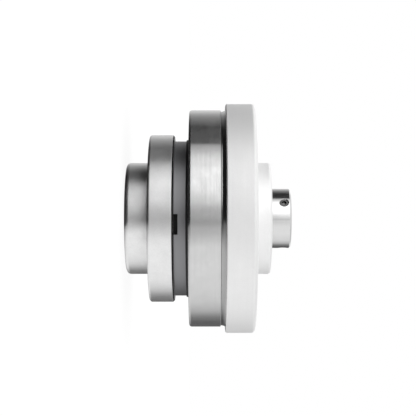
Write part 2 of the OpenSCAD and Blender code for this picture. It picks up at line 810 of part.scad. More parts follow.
module cross_rollers() {
    r = roller_d / 2;
    h = roller_len / 2;
    c = 0.15;
    color(STEEL) for (i = [0 : rollers - 1]) rotate([0, 0, 360 * i / rollers])
        translate([roller_pitch_r, 0, z_rollers]) rotate([0, i % 2 == 0 ? 45 : -45, 0])
            turned([[0, -h], [r - c, -h], [r, -h + c], [r, h - c], [r - c, h], [0, h]], 32);
}

module roller_spacers() {
    color(PALE_ALUMINIUM) for (i = [0 : rollers - 1]) rotate([0, 0, 360 * (i + 0.5) / rollers])
        translate([roller_pitch_r, 0, z_rollers]) rotate([0, 45, 0])
            cube([spacer_side, roller_spacer_t, spacer_side], center = true);
}

module input_bearing_balls() {
    color(STEEL) shaft_bearing_balls(z_input_bearing);
}

module input_bearing_cage() {
    color(BRASS) shaft_bearing_cage(z_input_bearing);
}

module output_bearing_balls() {
    color(STEEL) shaft_bearing_balls(z_output_bearing);
}

module output_bearing_cage() {
    color(BRASS) shaft_bearing_cage(z_output_bearing);
}

input_flange();
flexspline();
bearing_outer_ring();
bearing_seal();
housing_screws();
ring_o_ring();
flange_o_ring();
input_bearing_outer_ring();
input_bearing_shields();
input_bearing_circlip();
input_shaft_seal();
input_seal_spring();
output_flange();
circular_spline();
bearing_inner_ring_front();
bearing_inner_ring_rear();
output_screws();
locating_pins();
output_o_ring();
output_bearing_outer_ring();
output_bearing_shields();
output_bearing_circlip();
output_shaft_seal();
output_seal_spring();
hollow_shaft();
output_bearing_inner_ring();
input_bearing_inner_ring();
cam_spacer();
thrust_washer();
flexible_bearing_inner_race();
flexible_bearing_outer_race();
flexible_bearing_balls();
flexible_bearing_cage();
shaft_circlips();
clamp_set_screws();
cross_rollers();
roller_spacers();
input_bearing_balls();
input_bearing_cage();
output_bearing_balls();
output_bearing_cage();
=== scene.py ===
"""Dresses the strain wave gear unit: turned flanges, ground rings, seals, screws, rolling parts.

Laid out as an add-on and run as a script. Lengths are in metres, and the gear axis is Z.
"""
import json
import math

import bmesh
import bpy
from bpy.props import FloatProperty, FloatVectorProperty, IntProperty, PointerProperty
from mathutils import Matrix, Vector


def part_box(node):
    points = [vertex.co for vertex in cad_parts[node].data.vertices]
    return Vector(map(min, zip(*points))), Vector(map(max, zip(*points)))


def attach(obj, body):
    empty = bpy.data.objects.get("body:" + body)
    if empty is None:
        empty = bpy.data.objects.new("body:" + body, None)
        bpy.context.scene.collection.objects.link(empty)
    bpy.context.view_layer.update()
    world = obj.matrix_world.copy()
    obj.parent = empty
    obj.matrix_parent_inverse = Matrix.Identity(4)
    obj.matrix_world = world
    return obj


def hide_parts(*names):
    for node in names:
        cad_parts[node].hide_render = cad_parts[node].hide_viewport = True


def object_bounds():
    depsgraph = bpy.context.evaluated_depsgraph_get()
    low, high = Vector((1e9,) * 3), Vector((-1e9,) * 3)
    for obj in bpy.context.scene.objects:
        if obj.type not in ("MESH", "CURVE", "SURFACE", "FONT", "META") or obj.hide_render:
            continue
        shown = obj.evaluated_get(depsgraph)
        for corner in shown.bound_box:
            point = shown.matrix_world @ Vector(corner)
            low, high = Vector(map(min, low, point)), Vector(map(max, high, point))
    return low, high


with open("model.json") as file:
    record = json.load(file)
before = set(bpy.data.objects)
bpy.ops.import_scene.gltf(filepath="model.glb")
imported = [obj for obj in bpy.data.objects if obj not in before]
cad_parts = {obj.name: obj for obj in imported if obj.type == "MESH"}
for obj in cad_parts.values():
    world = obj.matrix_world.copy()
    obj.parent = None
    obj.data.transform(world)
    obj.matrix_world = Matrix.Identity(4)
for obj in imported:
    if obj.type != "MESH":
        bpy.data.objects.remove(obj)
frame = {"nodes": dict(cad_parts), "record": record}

bl_info = {
    "name": "Strain wave gear finish",
    "version": (1, 0, 0),
    "blender": (4, 5, 0),
    "location": "View3D > Sidebar > Gear",
    "description": "Builds the finished pieces, materials and studio of a strain wave gear unit",
    "category": "Object",
}

CAD_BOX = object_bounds()
MM = 0.001
FINE = 288          # steps round a large turned piece
SHARP = math.radians(31)            # edges that turn by more stay sharp
SCREW_SHARP = math.radians(24)      # the same for screws
WHITE = (1.0, 1.0, 1.0, 1.0)
NOTCH_SHARP = math.radians(25)      # and for the notched ring
SPRING_SHARP = math.radians(80)     # and for wire
STRAIGHT = math.radians(178)        # corners as open as this need no rounding
ARC_STEP = 10       # degrees between two points of a rounded corner
BETWEEN = math.radians(22.5)        # first screw place, halfway between two of eight holes
PIN_PLACE = math.radians(11.25)     # place of the first locating pin
PIN_HOLE = 1.01 * MM                # radius of the pin holes
GROOVE_IN, GROOVE_OUT = 0.8 * MM, 0.1 * MM      # O-ring groove walls, from the ring's outside


# ---------------------------------------------------------------- settings


def length(name, description, mm):
    """A length that a user may change, written in millimetres here and kept in metres."""
    return FloatProperty(name=name, description=description, default=mm * MM, min=0.0,
                         unit="LENGTH", precision=5)


def angle(name, description, degrees):
    """An angle that a user may change."""
    return FloatProperty(name=name, description=description, default=math.radians(degrees),
                         unit="ROTATION", subtype="ANGLE")


def number(name, description, count):
    """A count that a user may change."""
    return IntProperty(name=name, description=description, default=count, min=1)


def share(name, description, value, top=1.0):
    """A share from nothing to all."""
    return FloatProperty(name=name, description=description, default=value, min=0.0, max=top,
                         subtype="FACTOR")


def colour(name, description, *rgb):
    """A colour, in linear light."""
    return FloatVectorProperty(name=name, description=description, default=rgb, min=0.0, max=1.0,
                               size=3, subtype="COLOR")


class FlangeSizes(bpy.types.PropertyGroup):
    """Sizes of the two flanges, their hubs and their holes."""
    output_hub: length("Output hub", "Diameter of the hub on the output side", 36)
    output_hub_end: length("Output hub length", "Height at which the output flange starts", 7.5)
    output_hub_round: length("Output hub round", "Rounding of the output hub's end corner", 1.4)
    output_round: length("Output flange round", "Rounding of the output flange's corner", 0.8)
    output_circle: length("Output circle", "Circle on which the output holes lie", 45)
    output_tap: length("Output tapped hole", "Inner diameter of the output flange's threads", 2.5)
    output_tap_depth: length("Output thread depth", "Depth of the tapped output holes", 6)
    output_screw: length("Output screw hole", "Diameter of the clearance holes for the screws", 3.2)
    output_head: length("Output counterbore", "Diameter of the counterbores for the screw heads", 5.8)
    input_hub: length("Input hub", "Diameter of the hub on the input side", 36)
    input_hub_start: length("Input hub start", "Height at which the input hub starts", 41.2)
    input_round: length("Input flange round", "Rounding of the input flange's corner", 1.2)
    input_hub_round: length("Input hub round", "Rounding of the input hub's end corner", 0.9)
    housing_circle: length("Housing circle", "Circle on which the housing holes lie", 62)
    housing_hole: length("Housing hole", "Diameter of the housing's mounting holes", 3.4)
    housing_screw: length("Housing screw hole", "Diameter of the clearance holes for screws", 2.2)
    housing_head: length("Housing counterbore", "Diameter of the counterbores for screws", 4.1)
    seal_seat: length("Seal seat", "Diameter of the seats of the two shaft seals", 30)
    web: length("Web", "Inner diameter of the web between seal and bearing", 29)
    bearing_seat: length("Bearing seat", "Diameter of the seats of the two shaft bearings", 32)
    circlip_groove: length("Circlip groove", "Diameter of the circlip grooves in the flanges", 33.5)
    corner: length("Broken edge", "Size of the small broken edges and hole mouths", 0.2)


class GearSizes(bpy.types.PropertyGroup):
    """Sizes of the toothed zone and of the rolling parts."""
    spline_teeth: number("Spline teeth", "Teeth of the circular spline", 102)
    spline_tip: length("Spline tip radius", "Tip radius of the circular spline's teeth", 18.62)
    spline_root: length("Spline root radius", "Root radius of the circular spline's teeth", 19.28)
    wave: length("Wave", "Radial travel of the wave", 0.366)
    notch_angle: angle("Notch place", "Place of the pry notch round the axis", 273.7)
    notch_length: length("Notch length", "Length of the pry notch round the spline", 6.3)
    notch_width: length("Notch width", "Width of the pry notch along the axis", 1.4)
    notch_depth: length("Notch depth", "Radial depth of the pry notch", 2.5)
    roller_circle: length("Roller circle", "Pitch diameter of the crossed rollers", 53.4)
    roller: length("Roller", "Diameter of a crossed roller", 2.8)
    rollers: number("Rollers", "Number of crossed rollers", 36)
    ball: length("Ball", "Diameter of a ball in the shaft bearings", 3.5)
    balls: number("Balls", "Number of balls in a shaft bearing", 13)
    ball_circle: length("Ball circle", "Pitch diameter of the shaft bearings' balls", 26)
    flex_ball: length("Flexible bearing ball", "Diameter of a ball in the flexible bearing", 3.0)
    flex_balls: number("Flexible bearing balls", "Balls in the flexible bearing", 23)
    flex_circle: length("Flexible ball circle", "Mean pitch diameter of those balls", 30.33)


class ShaftSizes(bpy.types.PropertyGroup):
    """Sizes of the hollow shaft."""
    bore: length("Bore", "Diameter of the through bore", 14)
    end: length("Free end", "Diameter of the shaft's free end", 19.2)
    seat: length("Bearing seat", "Diameter of the shaft's bearing seats", 20)
    groove: length("Circlip groove", "Diameter of the circlip grooves", 18.8)
    cam: length("Cam", "Mean diameter of the oval cam", 25.06)
    chamfer: length("Chamfer", "Chamfer on the shaft's ends", 0.5)
    screw: length("Set screw", "Diameter of a set screw", 2.7)
    screw_height: length("Set screw height", "Height of the set screws", 50.45)
    screw_angle: angle("First set screw", "Place of the first set screw round the axis", 237.6)
    screws: number("Set screws", "Number of set screws", 3)
    countersink: length("Countersink", "Width of the countersink round a set screw", 0.25)


class FinishSettings(bpy.types.PropertyGroup):
    """Colours and gloss of the finishes."""
    pale: colour("Pale aluminium", "Colour of the input flange", 0.97, 0.97, 0.97)
    pale_rough: share("Pale aluminium roughness", "Roughness of the input flange", 0.56)
    turned: colour("Turned aluminium", "Colour of the register face", 0.62, 0.62, 0.62)
    satin: colour("Satin aluminium", "Colour of the output flange", 0.88, 0.88, 0.88)
    satin_rough: share("Satin roughness", "Roughness of the output flange", 0.34)
    ground: colour("Ground steel", "Colour of the main ring", 0.66, 0.66, 0.66)
    ground_rough: share("Ground steel roughness", "Roughness of the main ring", 0.2)
    dark: colour("Dark steel", "Colour of the circular spline", 0.13, 0.13, 0.13)
    dark_rough: share("Dark steel roughness", "Roughness of the circular spline", 0.25)
    shaft: colour("Shaft steel", "Colour of the hollow shaft", 0.72, 0.72, 0.72)
    shaft_rough: share("Shaft roughness", "Roughness of the hollow shaft", 0.14)
    flex: colour("Flexspline steel", "Colour of the flexspline", 0.42, 0.42, 0.42)
    rubber: colour("Rubber", "Colour of the seals and O-rings", 0.012, 0.012, 0.013)
    black: colour("Black screws", "Colour of the blackened screws", 0.035, 0.035, 0.038)
    set_screw: colour("Set screws", "Colour of the blackened set screws", 0.13, 0.13, 0.13)
    brass: colour("Brass", "Colour of the cages and the washer", 0.62, 0.45, 0.2)
    bright: colour("Bearing steel", "Colour of balls, rollers and rings", 0.7, 0.7, 0.71)
    spacer: colour("Spacer plastic", "Colour of the roller spacers", 0.72, 0.70, 0.64)


class StageSettings(bpy.types.PropertyGroup):
    """Camera, floor and light."""
    distance: FloatProperty(name="Camera distance", description="From the gear's middle",
                            default=0.4, unit="LENGTH")
    middle: length("View middle", "Height on the axis that the camera looks at", 26.2)
    rise: length("Camera rise", "How far the camera stands towards -X", 3.4)
    lens: FloatProperty(name="Lens", description="Focal length in millimetres", default=106.5)
    floor: FloatProperty(name="Floor size", description="Radius of the round floor", default=1.2,
                         unit="LENGTH")
    light: share("Light", "Level of the studio light", 1.0, 2.0)
    card: length("Dark card", "How far below the floor the dark card lies", 8)
    card_size: length("Dark card size", "Side length of the dark card", 300)


# ---------------------------------------------------------------- shared shapes


def span(node):
    """Outer radius, lowest and highest height of a node of the frame."""
    low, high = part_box(node)
    return high.x, low.z, high.z


def heights(node):
    """Lowest and highest height of a node of the frame."""
    return span(node)[1:]


def end_groove(node, face, inwards=False):
    """Corners of an O-ring's groove in an end face, from its outer wall inwards or back."""
    r, low, high = span(node)
    inner, outer = r - GROOVE_IN, r + GROOVE_OUT
    floor = low if face - low > high - face else high
    corners = [(outer, face), (outer, floor), (inner, floor), (inner, face)]
    return corners if inwards else corners[::-1]


def side_groove(wall, floor, start, end):
    """Corners of a groove in a round wall, from one height to another."""
    return [(wall, start), (floor, start), (floor, end), (wall, end)]


def rounded(corners, support=0.05 * MM):
    """A closed outline from (radius, height, rounding) corners, with short steps beside each corner.

    The rounding may be left out. A fourth value is the share of the wave that the corner follows.
    """
    outline, room = [], 6 * support     # a side shorter than the room gets no extra points
    for i, corner in enumerate(corners):
        turn, wave = (*corner[2:], 0.0, 0.0)[:2]
        here = Vector(corner[:2])
        before = Vector(corners[i - 1][:2]) - here
        after = Vector(corners[(i + 1) % len(corners)][:2]) - here
        u, v = before.normalized(), after.normalized()
        opening = u.angle(v)
        if turn > 0 and opening <= STRAIGHT:
            cut = turn / math.tan(opening / 2)
            middle = here + (u + v).normalized() * turn / math.sin(opening / 2)
            steps = max(3, int(math.degrees(math.pi - opening) / ARC_STEP))
            start, end = here + u * cut - middle, here + v * cut - middle
            sweep = start.angle_signed(end)
            spots = [middle + Matrix.Rotation(-sweep * k / steps, 2) @ start
                     for k in range(steps + 1)]
        else:
            cut, spots = 0.0, [here]
        if before.length - cut > room:
            spots.insert(0, here + u * (cut + support))
        if after.length - cut > room:
            spots.append(here + v * (cut + support))
        outline += [(spot.x, spot.y, wave) for spot in spots]
    return outline


def weave(rings, numbers):
    """A mesh between neighbouring rings of points, with a number for each row of faces."""
    mesh = bmesh.new()
    rings = [[mesh.verts.new(spot) for spot in ring] for ring in rings]
    part = mesh.faces.layers.int.new("part")
    for here, there in zip(rings, rings[1:] + rings[:1]):
        for j, number in enumerate(numbers):
            k = (j + 1) % len(here)
            mesh.faces.new((here[j], there[j], there[k], here[k]))[part] = number
    bmesh.ops.remove_doubles(mesh, verts=mesh.verts, dist=1e-7)
    return mesh


def sweep_round(outline, steps, radius=None, wave=0.0, closed=True):
    """A mesh swept round the axis. radius(r, z, a) may change each point's radius."""
    points = [(*point, 0.0)[:3] for point in outline]
    rings = []
    for i in range(steps):
        a = 2 * math.pi * i / steps
        ring = []
        for r, z, follow in points:
            r += follow * wave * math.cos(2 * a)
            if radius:
                r = radius(r, z, a)
            ring.append((r * math.cos(a), r * math.sin(a), z))
        rings.append(ring)
    numbers = [0 if points[j][2] or points[(j + 1) % len(points)][2] else j + 1
               for j in range(len(points) if closed else len(points) - 1)]
    mesh = weave(rings, numbers)
    bmesh.ops.dissolve_degenerate(mesh, dist=1e-8, edges=mesh.edges)
    return outward(mesh)


def outward(mesh):
    """Turns all faces of a bmesh outwards."""
    bmesh.ops.recalc_face_normals(mesh, faces=mesh.faces)
    return mesh


def as_object(mesh, name):
    """A new object that holds a bmesh."""
    data = bpy.data.meshes.new(name)
    mesh.to_mesh(data)
    mesh.free()
    thing = bpy.data.objects.new(name, data)
    bpy.context.scene.collection.objects.link(thing)
    return thing


def settle(thing):
    """Applies all modifiers, so that the object holds one plain mesh."""
    graph = bpy.context.evaluated_depsgraph_get()
    graph.update()
    data = bpy.data.meshes.new_from_object(thing.evaluated_get(graph), depsgraph=graph)
    thing.modifiers.clear()
    thing.data = data
    return thing


def cut(thing, *tools):
    """Takes the tools' shapes out of the object."""
    for tool in tools:
        step = thing.modifiers.new("cut", "BOOLEAN")
        step.operation, step.solver, step.object = "DIFFERENCE", "EXACT", tool
    settle(thing)
    for tool in tools:
        bpy.data.objects.remove(tool)
    if len(thing.data.polygons) < 20:       # a failed cut leaves next to nothing
        raise RuntimeError(f"{thing.name}: the cut left nothing")
    return thing


def smooth(thing, limit=SHARP):
    """Smooth faces, with edges kept sharp where they turn by more than the limit."""
    thing.data.polygons.foreach_set("use_smooth", [True] * len(thing.data.polygons))
    thing.data.set_sharp_from_angle(angle=limit)
    return thing


def true_round(thing, outline):
    """Gives the turned faces of a cut piece the exact normals of its outline."""
    points = [Vector(p[:2]) for p in outline]
    runs = [after - here for here, after in zip(points, points[1:] + points[:1])]
    sides = [Vector((run.y, -run.x)).normalized() for run in runs]
    data = thing.data
    part = data.attributes["part"].data
    way = 0.0
    for face in data.polygons:
        if part[face.index].value:
            n, c = face.normal, face.center
            out = (n.x * c.x + n.y * c.y) / max(1e-9, math.hypot(c.x, c.y))
            way += sides[part[face.index].value - 1].dot(Vector((out, n.z)))
    if way < 0:
        sides = [-side for side in sides]

    def corner(side, other):
        return (side + other).normalized() if side.angle(other) < SHARP else side

    normals = [(0.0, 0.0, 0.0)] * len(data.loops)
    for face in data.polygons:
        j = part[face.index].value - 1
        if j < 0:
            continue
        first = corner(sides[j], sides[j - 1])
        last = corner(sides[j], sides[(j + 1) % len(sides)])
        for loop in face.loop_indices:
            x, y, z = data.vertices[data.loops[loop].vertex_index].co
            r = math.hypot(x, y)
            t = (Vector((r, z)) - points[j]).dot(runs[j]) / runs[j].length_squared
            n = first.lerp(last, min(1.0, max(0.0, t))).normalized()
            normals[loop] = (n.x * x / r, n.x * y / r, n.y)
    data.normals_split_custom_set(normals)
    data.attributes.remove(data.attributes["part"])
    return thing


def lathe(name, outline, *tools, steps=FINE, wave=0.0):
    """A turned piece with the tools' shapes cut out, shaded as round as its outline is."""
    piece = as_object(sweep_round(outline, steps, wave=wave), name)
    return true_round(smooth(cut(piece, *tools)), outline)


def drill(name, points, count, circle, first=0.0, steps=48, radius=None, turn=None):
    """One cutter of stepped holes on a circle. A hole is a list of (radius, height) points.

    radius(r, z, a) may shape the holes' walls, and turn(a) may stand them elsewhere than along Z.
    """
    outline = [(0.0, points[0][1]), *points, (0.0, points[-1][1])]
    tool = bmesh.new()
    for i in range(count):
        a = first + 2 * math.pi * i / count
        one = sweep_round(outline, steps, radius, closed=False)
        one.transform(turn(a) if turn else Matrix.Translation((
            circle / 2 * math.cos(a), circle / 2 * math.sin(a), 0)))
        one.faces.layers.int.remove(one.faces.layers.int["part"])
        data = bpy.data.meshes.new("hole")
        one.to_mesh(data)
        one.free()
        tool.from_mesh(data)
        bpy.data.meshes.remove(data)
    return as_object(tool, name)


def thread(crest, depth, pitch, low, high):
    """A radius rule for a helical thread between two heights."""
    def radius(r, z, a):
        if r < crest * 0.6 or not low <= z <= high:
            return r
        fade = min(1.0, (z - low) / pitch, (high - z) / pitch)
        phase = (z / pitch - a / (2 * math.pi)) % 1.0
        steep, flat = 4.8, 0.9      # slope of the flanks, and how wide the crest stays flat
        return r - depth * fade * min(1.0, max(0.0, steep * abs(phase - 0.5) - flat))
    return radius


def wear(thing, body, slot, *nodes, look=None):
    """Gives a finished piece the finish of its slot or of the look given, puts it under its body, and
    hides the nodes that it stands for.
    """
    thing.data.materials.clear()
    thing.data.materials.append(finishes()[look or slot])
    for face in thing.data.polygons:
        face.material_index = 0
    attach(thing, body)
    if nodes:
        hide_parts(*nodes)
    return thing


def touch_up(thing, look, chosen):
    """Gives another look to the faces that are chosen."""
    thing.data.materials.append(finishes()[look])
    last = len(thing.data.materials) - 1
    for face in thing.data.polygons:
        if chosen(face):
            face.material_index = last


# ---------------------------------------------------------------- materials


class Nodes:
    """A short way to write a node tree: each call adds a node and links or sets its inputs."""

    def __init__(self, tree):
        self.tree = tree
        self.column = 0

    def put(self, value, socket):
        """Links a value to a socket if it is one, and sets it otherwise."""
        if isinstance(value, bpy.types.NodeSocket):
            self.tree.links.new(value, socket)
        else:
            socket.default_value = value

    def add(self, kind, inputs=None, **settings):
        node = self.tree.nodes.new(kind)
        node.location = (self.column, 0)
        self.column += 190
        for key, value in settings.items():
            setattr(node, key, value)
        for key, value in (inputs or {}).items():
            self.put(value, node.inputs[key])
        return node

    def get(self, kind, inputs=None, **settings):
        """The first output of a new node."""
        return self.add(kind, inputs, **settings).outputs[0]

    def math(self, operation, a, b=0.0):
        return self.get("ShaderNodeMath", {0: a, 1: b}, operation=operation)

    def plus(self, a, b):
        return self.math("ADD", a, b)

    def minus(self, a, b):
        return self.math("SUBTRACT", a, b)

    def times(self, a, b):
        return self.math("MULTIPLY", a, b)

    def over(self, a, b):
        return self.math("DIVIDE", a, b)

    def point(self, x, y, z=0.0):
        return self.get("ShaderNodeCombineXYZ", {"X": x, "Y": y, "Z": z})

    def split(self, vector):
        """The three parts of a vector."""
        return self.add("ShaderNodeSeparateXYZ", {0: vector}).outputs

    def round_point(self, reach, turn, height):
        """The place at a radius, an angle and a height."""
        return self.point(self.times(reach, self.math("COSINE", turn)),
                          self.times(reach, self.math("SINE", turn)), height)

    def fade(self, value, start, end, first, last):
        """A level that goes from first to last while a value goes from start to end."""
        return self.get("ShaderNodeMapRange", {"Value": value, "From Min": start, "From Max": end,
                                               "To Min": first, "To Max": last})

    def mixed(self, factor, *colours):
        """Two colours mixed by a factor."""
        node = self.add("ShaderNodeMix", {"Factor": factor}, data_type="RGBA")
        for colour, socket in zip(colours, [s for s in node.inputs if s.type == "RGBA"]):
            self.put(colour, socket)
        return next(s for s in node.outputs if s.type == "RGBA")

    def noise(self, place, scale, detail, roughness, fourth=None):
        """Soft noise, which varies along a fourth value too if there is one."""
        inputs = {"Vector": place, "Scale": scale, "Detail": detail, "Roughness": roughness}
        settings = {}
        if fourth:
            inputs["W"] = fourth
            settings["noise_dimensions"] = "4D"
        return self.add("ShaderNodeTexNoise", inputs, **settings).outputs["Fac"]

    def bump(self, height, depth, below=None):
        inputs = {"Height": height, "Distance": depth, "Strength": 1.0}
        if below:
            inputs["Normal"] = below
        return self.get("ShaderNodeBump", inputs)


def blank(kind, name):
    """A new material or world without nodes, and the writer of its nodes."""
    made = kind.new(name)
    made.use_nodes = True
    made.node_tree.nodes.clear()
    return made, Nodes(made.node_tree)


CLOUD = 260.0           # how fine the soft variation is, in waves to the metre
USUAL = (0.3, 0.7)      # the range in which noise values mostly lie
RUBBED = (0.97, 0.85, 0.0, 0.55)    # how an edge's turn sets how rubbed it is


def finish(name, tint, rough, metal=1.0, grain=None, turned=None, mottle=0.05, sway=0.05,
           stretch=0.0, specular=0.5, edge=0.0):
    """A finish: colour and gloss that vary softly, blasted grain and turning marks as bumps.

    grain is (size, depth) of a blasted or cast surface, turned is (pitch, depth) of tool marks,
    mottle is how much the colour varies, sway how much the roughness does, and stretch how far
    fine grinding marks draw a highlight out along the axis. edge is the width of rubbed edges.
    """
    known = bpy.data.materials.get(name)
    if known:
        return known
    material, n = blank(bpy.data.materials, name)
    material.diffuse_color = (*tint, 1.0)
    place = n.add("ShaderNodeTexCoord").outputs["Object"]
    x, y, z = n.split(place)
    flat = n.point(x, y)
    away = n.add("ShaderNodeVectorMath", {0: flat}, operation="LENGTH").outputs["Value"]
    way = n.split(n.get("ShaderNodeVectorMath", {0: flat}, operation="NORMALIZE"))
    uneven = n.noise(place, CLOUD, 4.0, 0.6)
    bump = None
    if turned:
        pitch, depth = turned
        drift = 1.6         # how much the marks change on their way round
        marks = n.point(n.times(away, 1 / pitch), n.times(z, 1 / pitch), n.times(way["X"], drift))
        lines = n.noise(marks, 1.0, 3.0, 0.65, n.times(way["Y"], drift))
        bump = n.bump(lines, depth)
        uneven = n.plus(n.times(uneven, 0.55), n.times(lines, 0.45))
    if grain:
        size, depth = grain
        dots = n.noise(place, 1 / size, 2.0, 0.5)
        bump = n.bump(dots, depth, bump)
        uneven = n.plus(n.times(uneven, 0.6), n.times(dots, 0.4))
    gloss = n.fade(uneven, *USUAL, max(0.02, rough - sway), min(1.0, rough + sway))
    lit = [min(1.0, c * (1 + mottle)) for c in tint]
    dim = [c * (1 - mottle) for c in tint]
    colour = n.mixed(n.fade(uneven, *USUAL, 0.0, 1.0), (*lit, 1.0), (*dim, 1.0))
    if edge:
        soft = n.add("ShaderNodeBevel", {"Radius": edge}, samples=4)
        hard = n.add("ShaderNodeNewGeometry")
        along = n.add("ShaderNodeVectorMath", {0: soft.outputs[0], 1: hard.outputs["Normal"]},
                      operation="DOT_PRODUCT").outputs["Value"]
        rubbed = n.times(n.fade(along, *RUBBED), n.plus(uneven, 0.3))
        bare = [min(1.0, 0.35 + 0.6 * c) for c in tint]
        colour = n.mixed(rubbed, colour, (*bare, 1.0))
    skin = {"Base Color": colour, "Roughness": gloss, "Metallic": metal,
            "Specular IOR Level": specular}
    if stretch:
        skin["Anisotropic"] = stretch
        skin["Anisotropic Rotation"] = 0.25     # a quarter turn, so along the axis
        skin["Tangent"] = n.get("ShaderNodeTangent", direction_type="RADIAL", axis="Z")
    if bump:
        skin["Normal"] = bump
    n.add("ShaderNodeOutputMaterial", {"Surface": n.get("ShaderNodeBsdfPrincipled", skin)})
    return material


def finishes():
    """All finishes: those of the record's slots by their names, then four special ones."""
    f = bpy.context.scene.gear_finish
    return {
        "pale_flange": finish("pale_aluminium", f.pale, f.pale_rough, metal=0.6,
                              grain=(0.00034, 9e-6), turned=(0.0007, 5e-6), mottle=0.03,
                              sway=0.08),
        "satin_flange": finish("satin_aluminium", f.satin, f.satin_rough, grain=(0.0004, 14e-6),
                               sway=0.06, stretch=0.75),
        "ground_ring": finish("ground_steel", f.ground, f.ground_rough, turned=(0.00045, 1.6e-6),
                              mottle=0.04, sway=0.04, stretch=1.0),
        "dark_steel": finish("dark_steel", f.dark, f.dark_rough, turned=(0.0004, 1.2e-6),
                             mottle=0.08, stretch=0.8, edge=0.00015),
        "shaft_steel": finish("polished_steel", f.shaft, f.shaft_rough, turned=(0.00008, 0.5e-6),
                              mottle=0.03, sway=0.04, stretch=0.5),
        "flexspline_steel": finish("spring_steel", f.flex, 0.25, turned=(0.0001, 0.8e-6),
                                   mottle=0.06, stretch=0.8),
        "bearing_steel": finish("bearing_steel", f.bright, 0.14, turned=(0.00008, 0.4e-6),
                                mottle=0.03, sway=0.04),
        "black_rubber": finish("nitrile_rubber", f.rubber, 0.55, metal=0.0,
                               grain=(0.00012, 3e-6), mottle=0.2, sway=0.1, specular=0.4),
        "black_screws": finish("blackened_steel", f.black, 0.34, metal=0.6,
                               grain=(0.00015, 1.5e-6), mottle=0.2, sway=0.08, edge=0.00012),
        "bronze": finish("brass", f.brass, 0.27, turned=(0.0001, 0.8e-6), mottle=0.06, sway=0.06),
        "spacer_plastic": finish("spacer_plastic", f.spacer, 0.42, metal=0.0,
                                 grain=(0.0002, 2e-6), mottle=0.04, sway=0.06),
        "turned_face": finish("turned_aluminium", f.turned, 0.22, turned=(0.0004, 1.2e-6)),
        # Black painted shade, put on the output flange's joint chamfer and in the pry notch where
        # shade falls
        "painted_shade_faces": finish("black_painted_shade", f.rubber, 0.5, metal=0.0, grain=(0.0002, 1e-6),
                             specular=0.2),
        "brim_edge": finish("burnished_steel", f.flex, 0.16, turned=(0.0004, 0.6e-6), sway=0.03),
        "set_screws": finish("bright_black_steel", f.set_screw, 0.1, grain=(0.0002, 1e-6),
                             mottle=0.06, sway=0.04),
    }


# ---------------------------------------------------------------- geometry nodes


def new_tree(name, inputs):
    """A geometry node tree with named inputs and their defaults, and one for the material."""
    tree = bpy.data.node_groups.new(name, "GeometryNodeTree")
    face = tree.interface
    face.new_socket("Geometry", in_out="INPUT", socket_type="NodeSocketGeometry")
    for label, default in inputs.items():
        kind = "Int" if isinstance(default, int) else "Float"
        socket = face.new_socket(label, in_out="INPUT", socket_type="NodeSocket" + kind)
        socket.default_value = default
    face.new_socket("Material", in_out="INPUT", socket_type="NodeSocketMaterial")
    face.new_socket("Geometry", in_out="OUTPUT", socket_type="NodeSocketGeometry")
    n = Nodes(tree)
    return n, {s.name: s for s in n.add("NodeGroupInput").outputs if s.name}


def close_tree(n, shape, sockets):
    """Ends a tree in Realize Instances and Set Material, and gives the tree."""
    real = n.get("GeometryNodeRealizeInstances", {"Geometry": shape})
    dressed = n.get("GeometryNodeSetMaterial", {"Geometry": real, "Material": sockets["Material"]})
    n.add("NodeGroupOutput", {0: dressed})
    return n.tree


def once(build):
    """Builds a tree the first time that it is asked for, and finds it afterwards."""
    return lambda: bpy.data.node_groups.get(build.__name__) or build()


def grow(thing, tree, look, values):
    """Puts a tree on an object, sets its inputs by identifier and keeps the result as a mesh."""
    step = thing.modifiers.new("grow", "NODES")
    step.node_group = tree
    values = {**values, "Material": finishes()[look]}
    for item in tree.interface.items_tree:
        if item.item_type == "SOCKET" and item.in_out == "INPUT" and item.name in values:
            step[item.identifier] = values[item.name]
    return settle(thing)


@once
def ring_of_copies():
    """The tree that stands copies of a shape on a circle, or on the oval of the wave."""
    n, s = new_tree("ring_of_copies", {
        "Count": 8, "Circle Radius": 0.02, "First Angle": 0.0, "Height": 0.0,
        "Alternate Tilt": 0.0, "Wave": 0.0})
    index = n.get("GeometryNodeInputIndex")
    turn = n.plus(n.over(n.times(index, 2 * math.pi), s["Count"]), s["First Angle"])
    twice = n.times(turn, 2.0)
    swing = n.times(s["Wave"], n.math("COSINE", twice))
    slip = n.over(n.times(s["Wave"], n.math("SINE", twice)), n.times(s["Circle Radius"], -2.0))
    at = n.plus(turn, slip)
    spot = n.round_point(n.plus(s["Circle Radius"], swing), at, s["Height"])
    points = n.get("GeometryNodePoints", {"Count": s["Count"], "Position": spot})
    side = n.minus(1.0, n.times(n.math("MODULO", index, 2.0), 2.0))
    pose = n.point(0.0, n.times(s["Alternate Tilt"], side), at)
    copies = n.get("GeometryNodeInstanceOnPoints", {
        "Points": points, "Instance": s["Geometry"], "Rotation": pose})
    return close_tree(n, copies, s)


def stand(mesh, name, look, count, circle, height, first=0.0, tilt=0.0, wave=0.0):
    """An object of copies of a shape on a circle, every other one tilted the other way."""
    return grow(as_object(mesh, name), ring_of_copies(), look, {
        "Count": count, "Circle Radius": circle / 2, "First Angle": first, "Height": height,
        "Alternate Tilt": tilt, "Wave": wave})


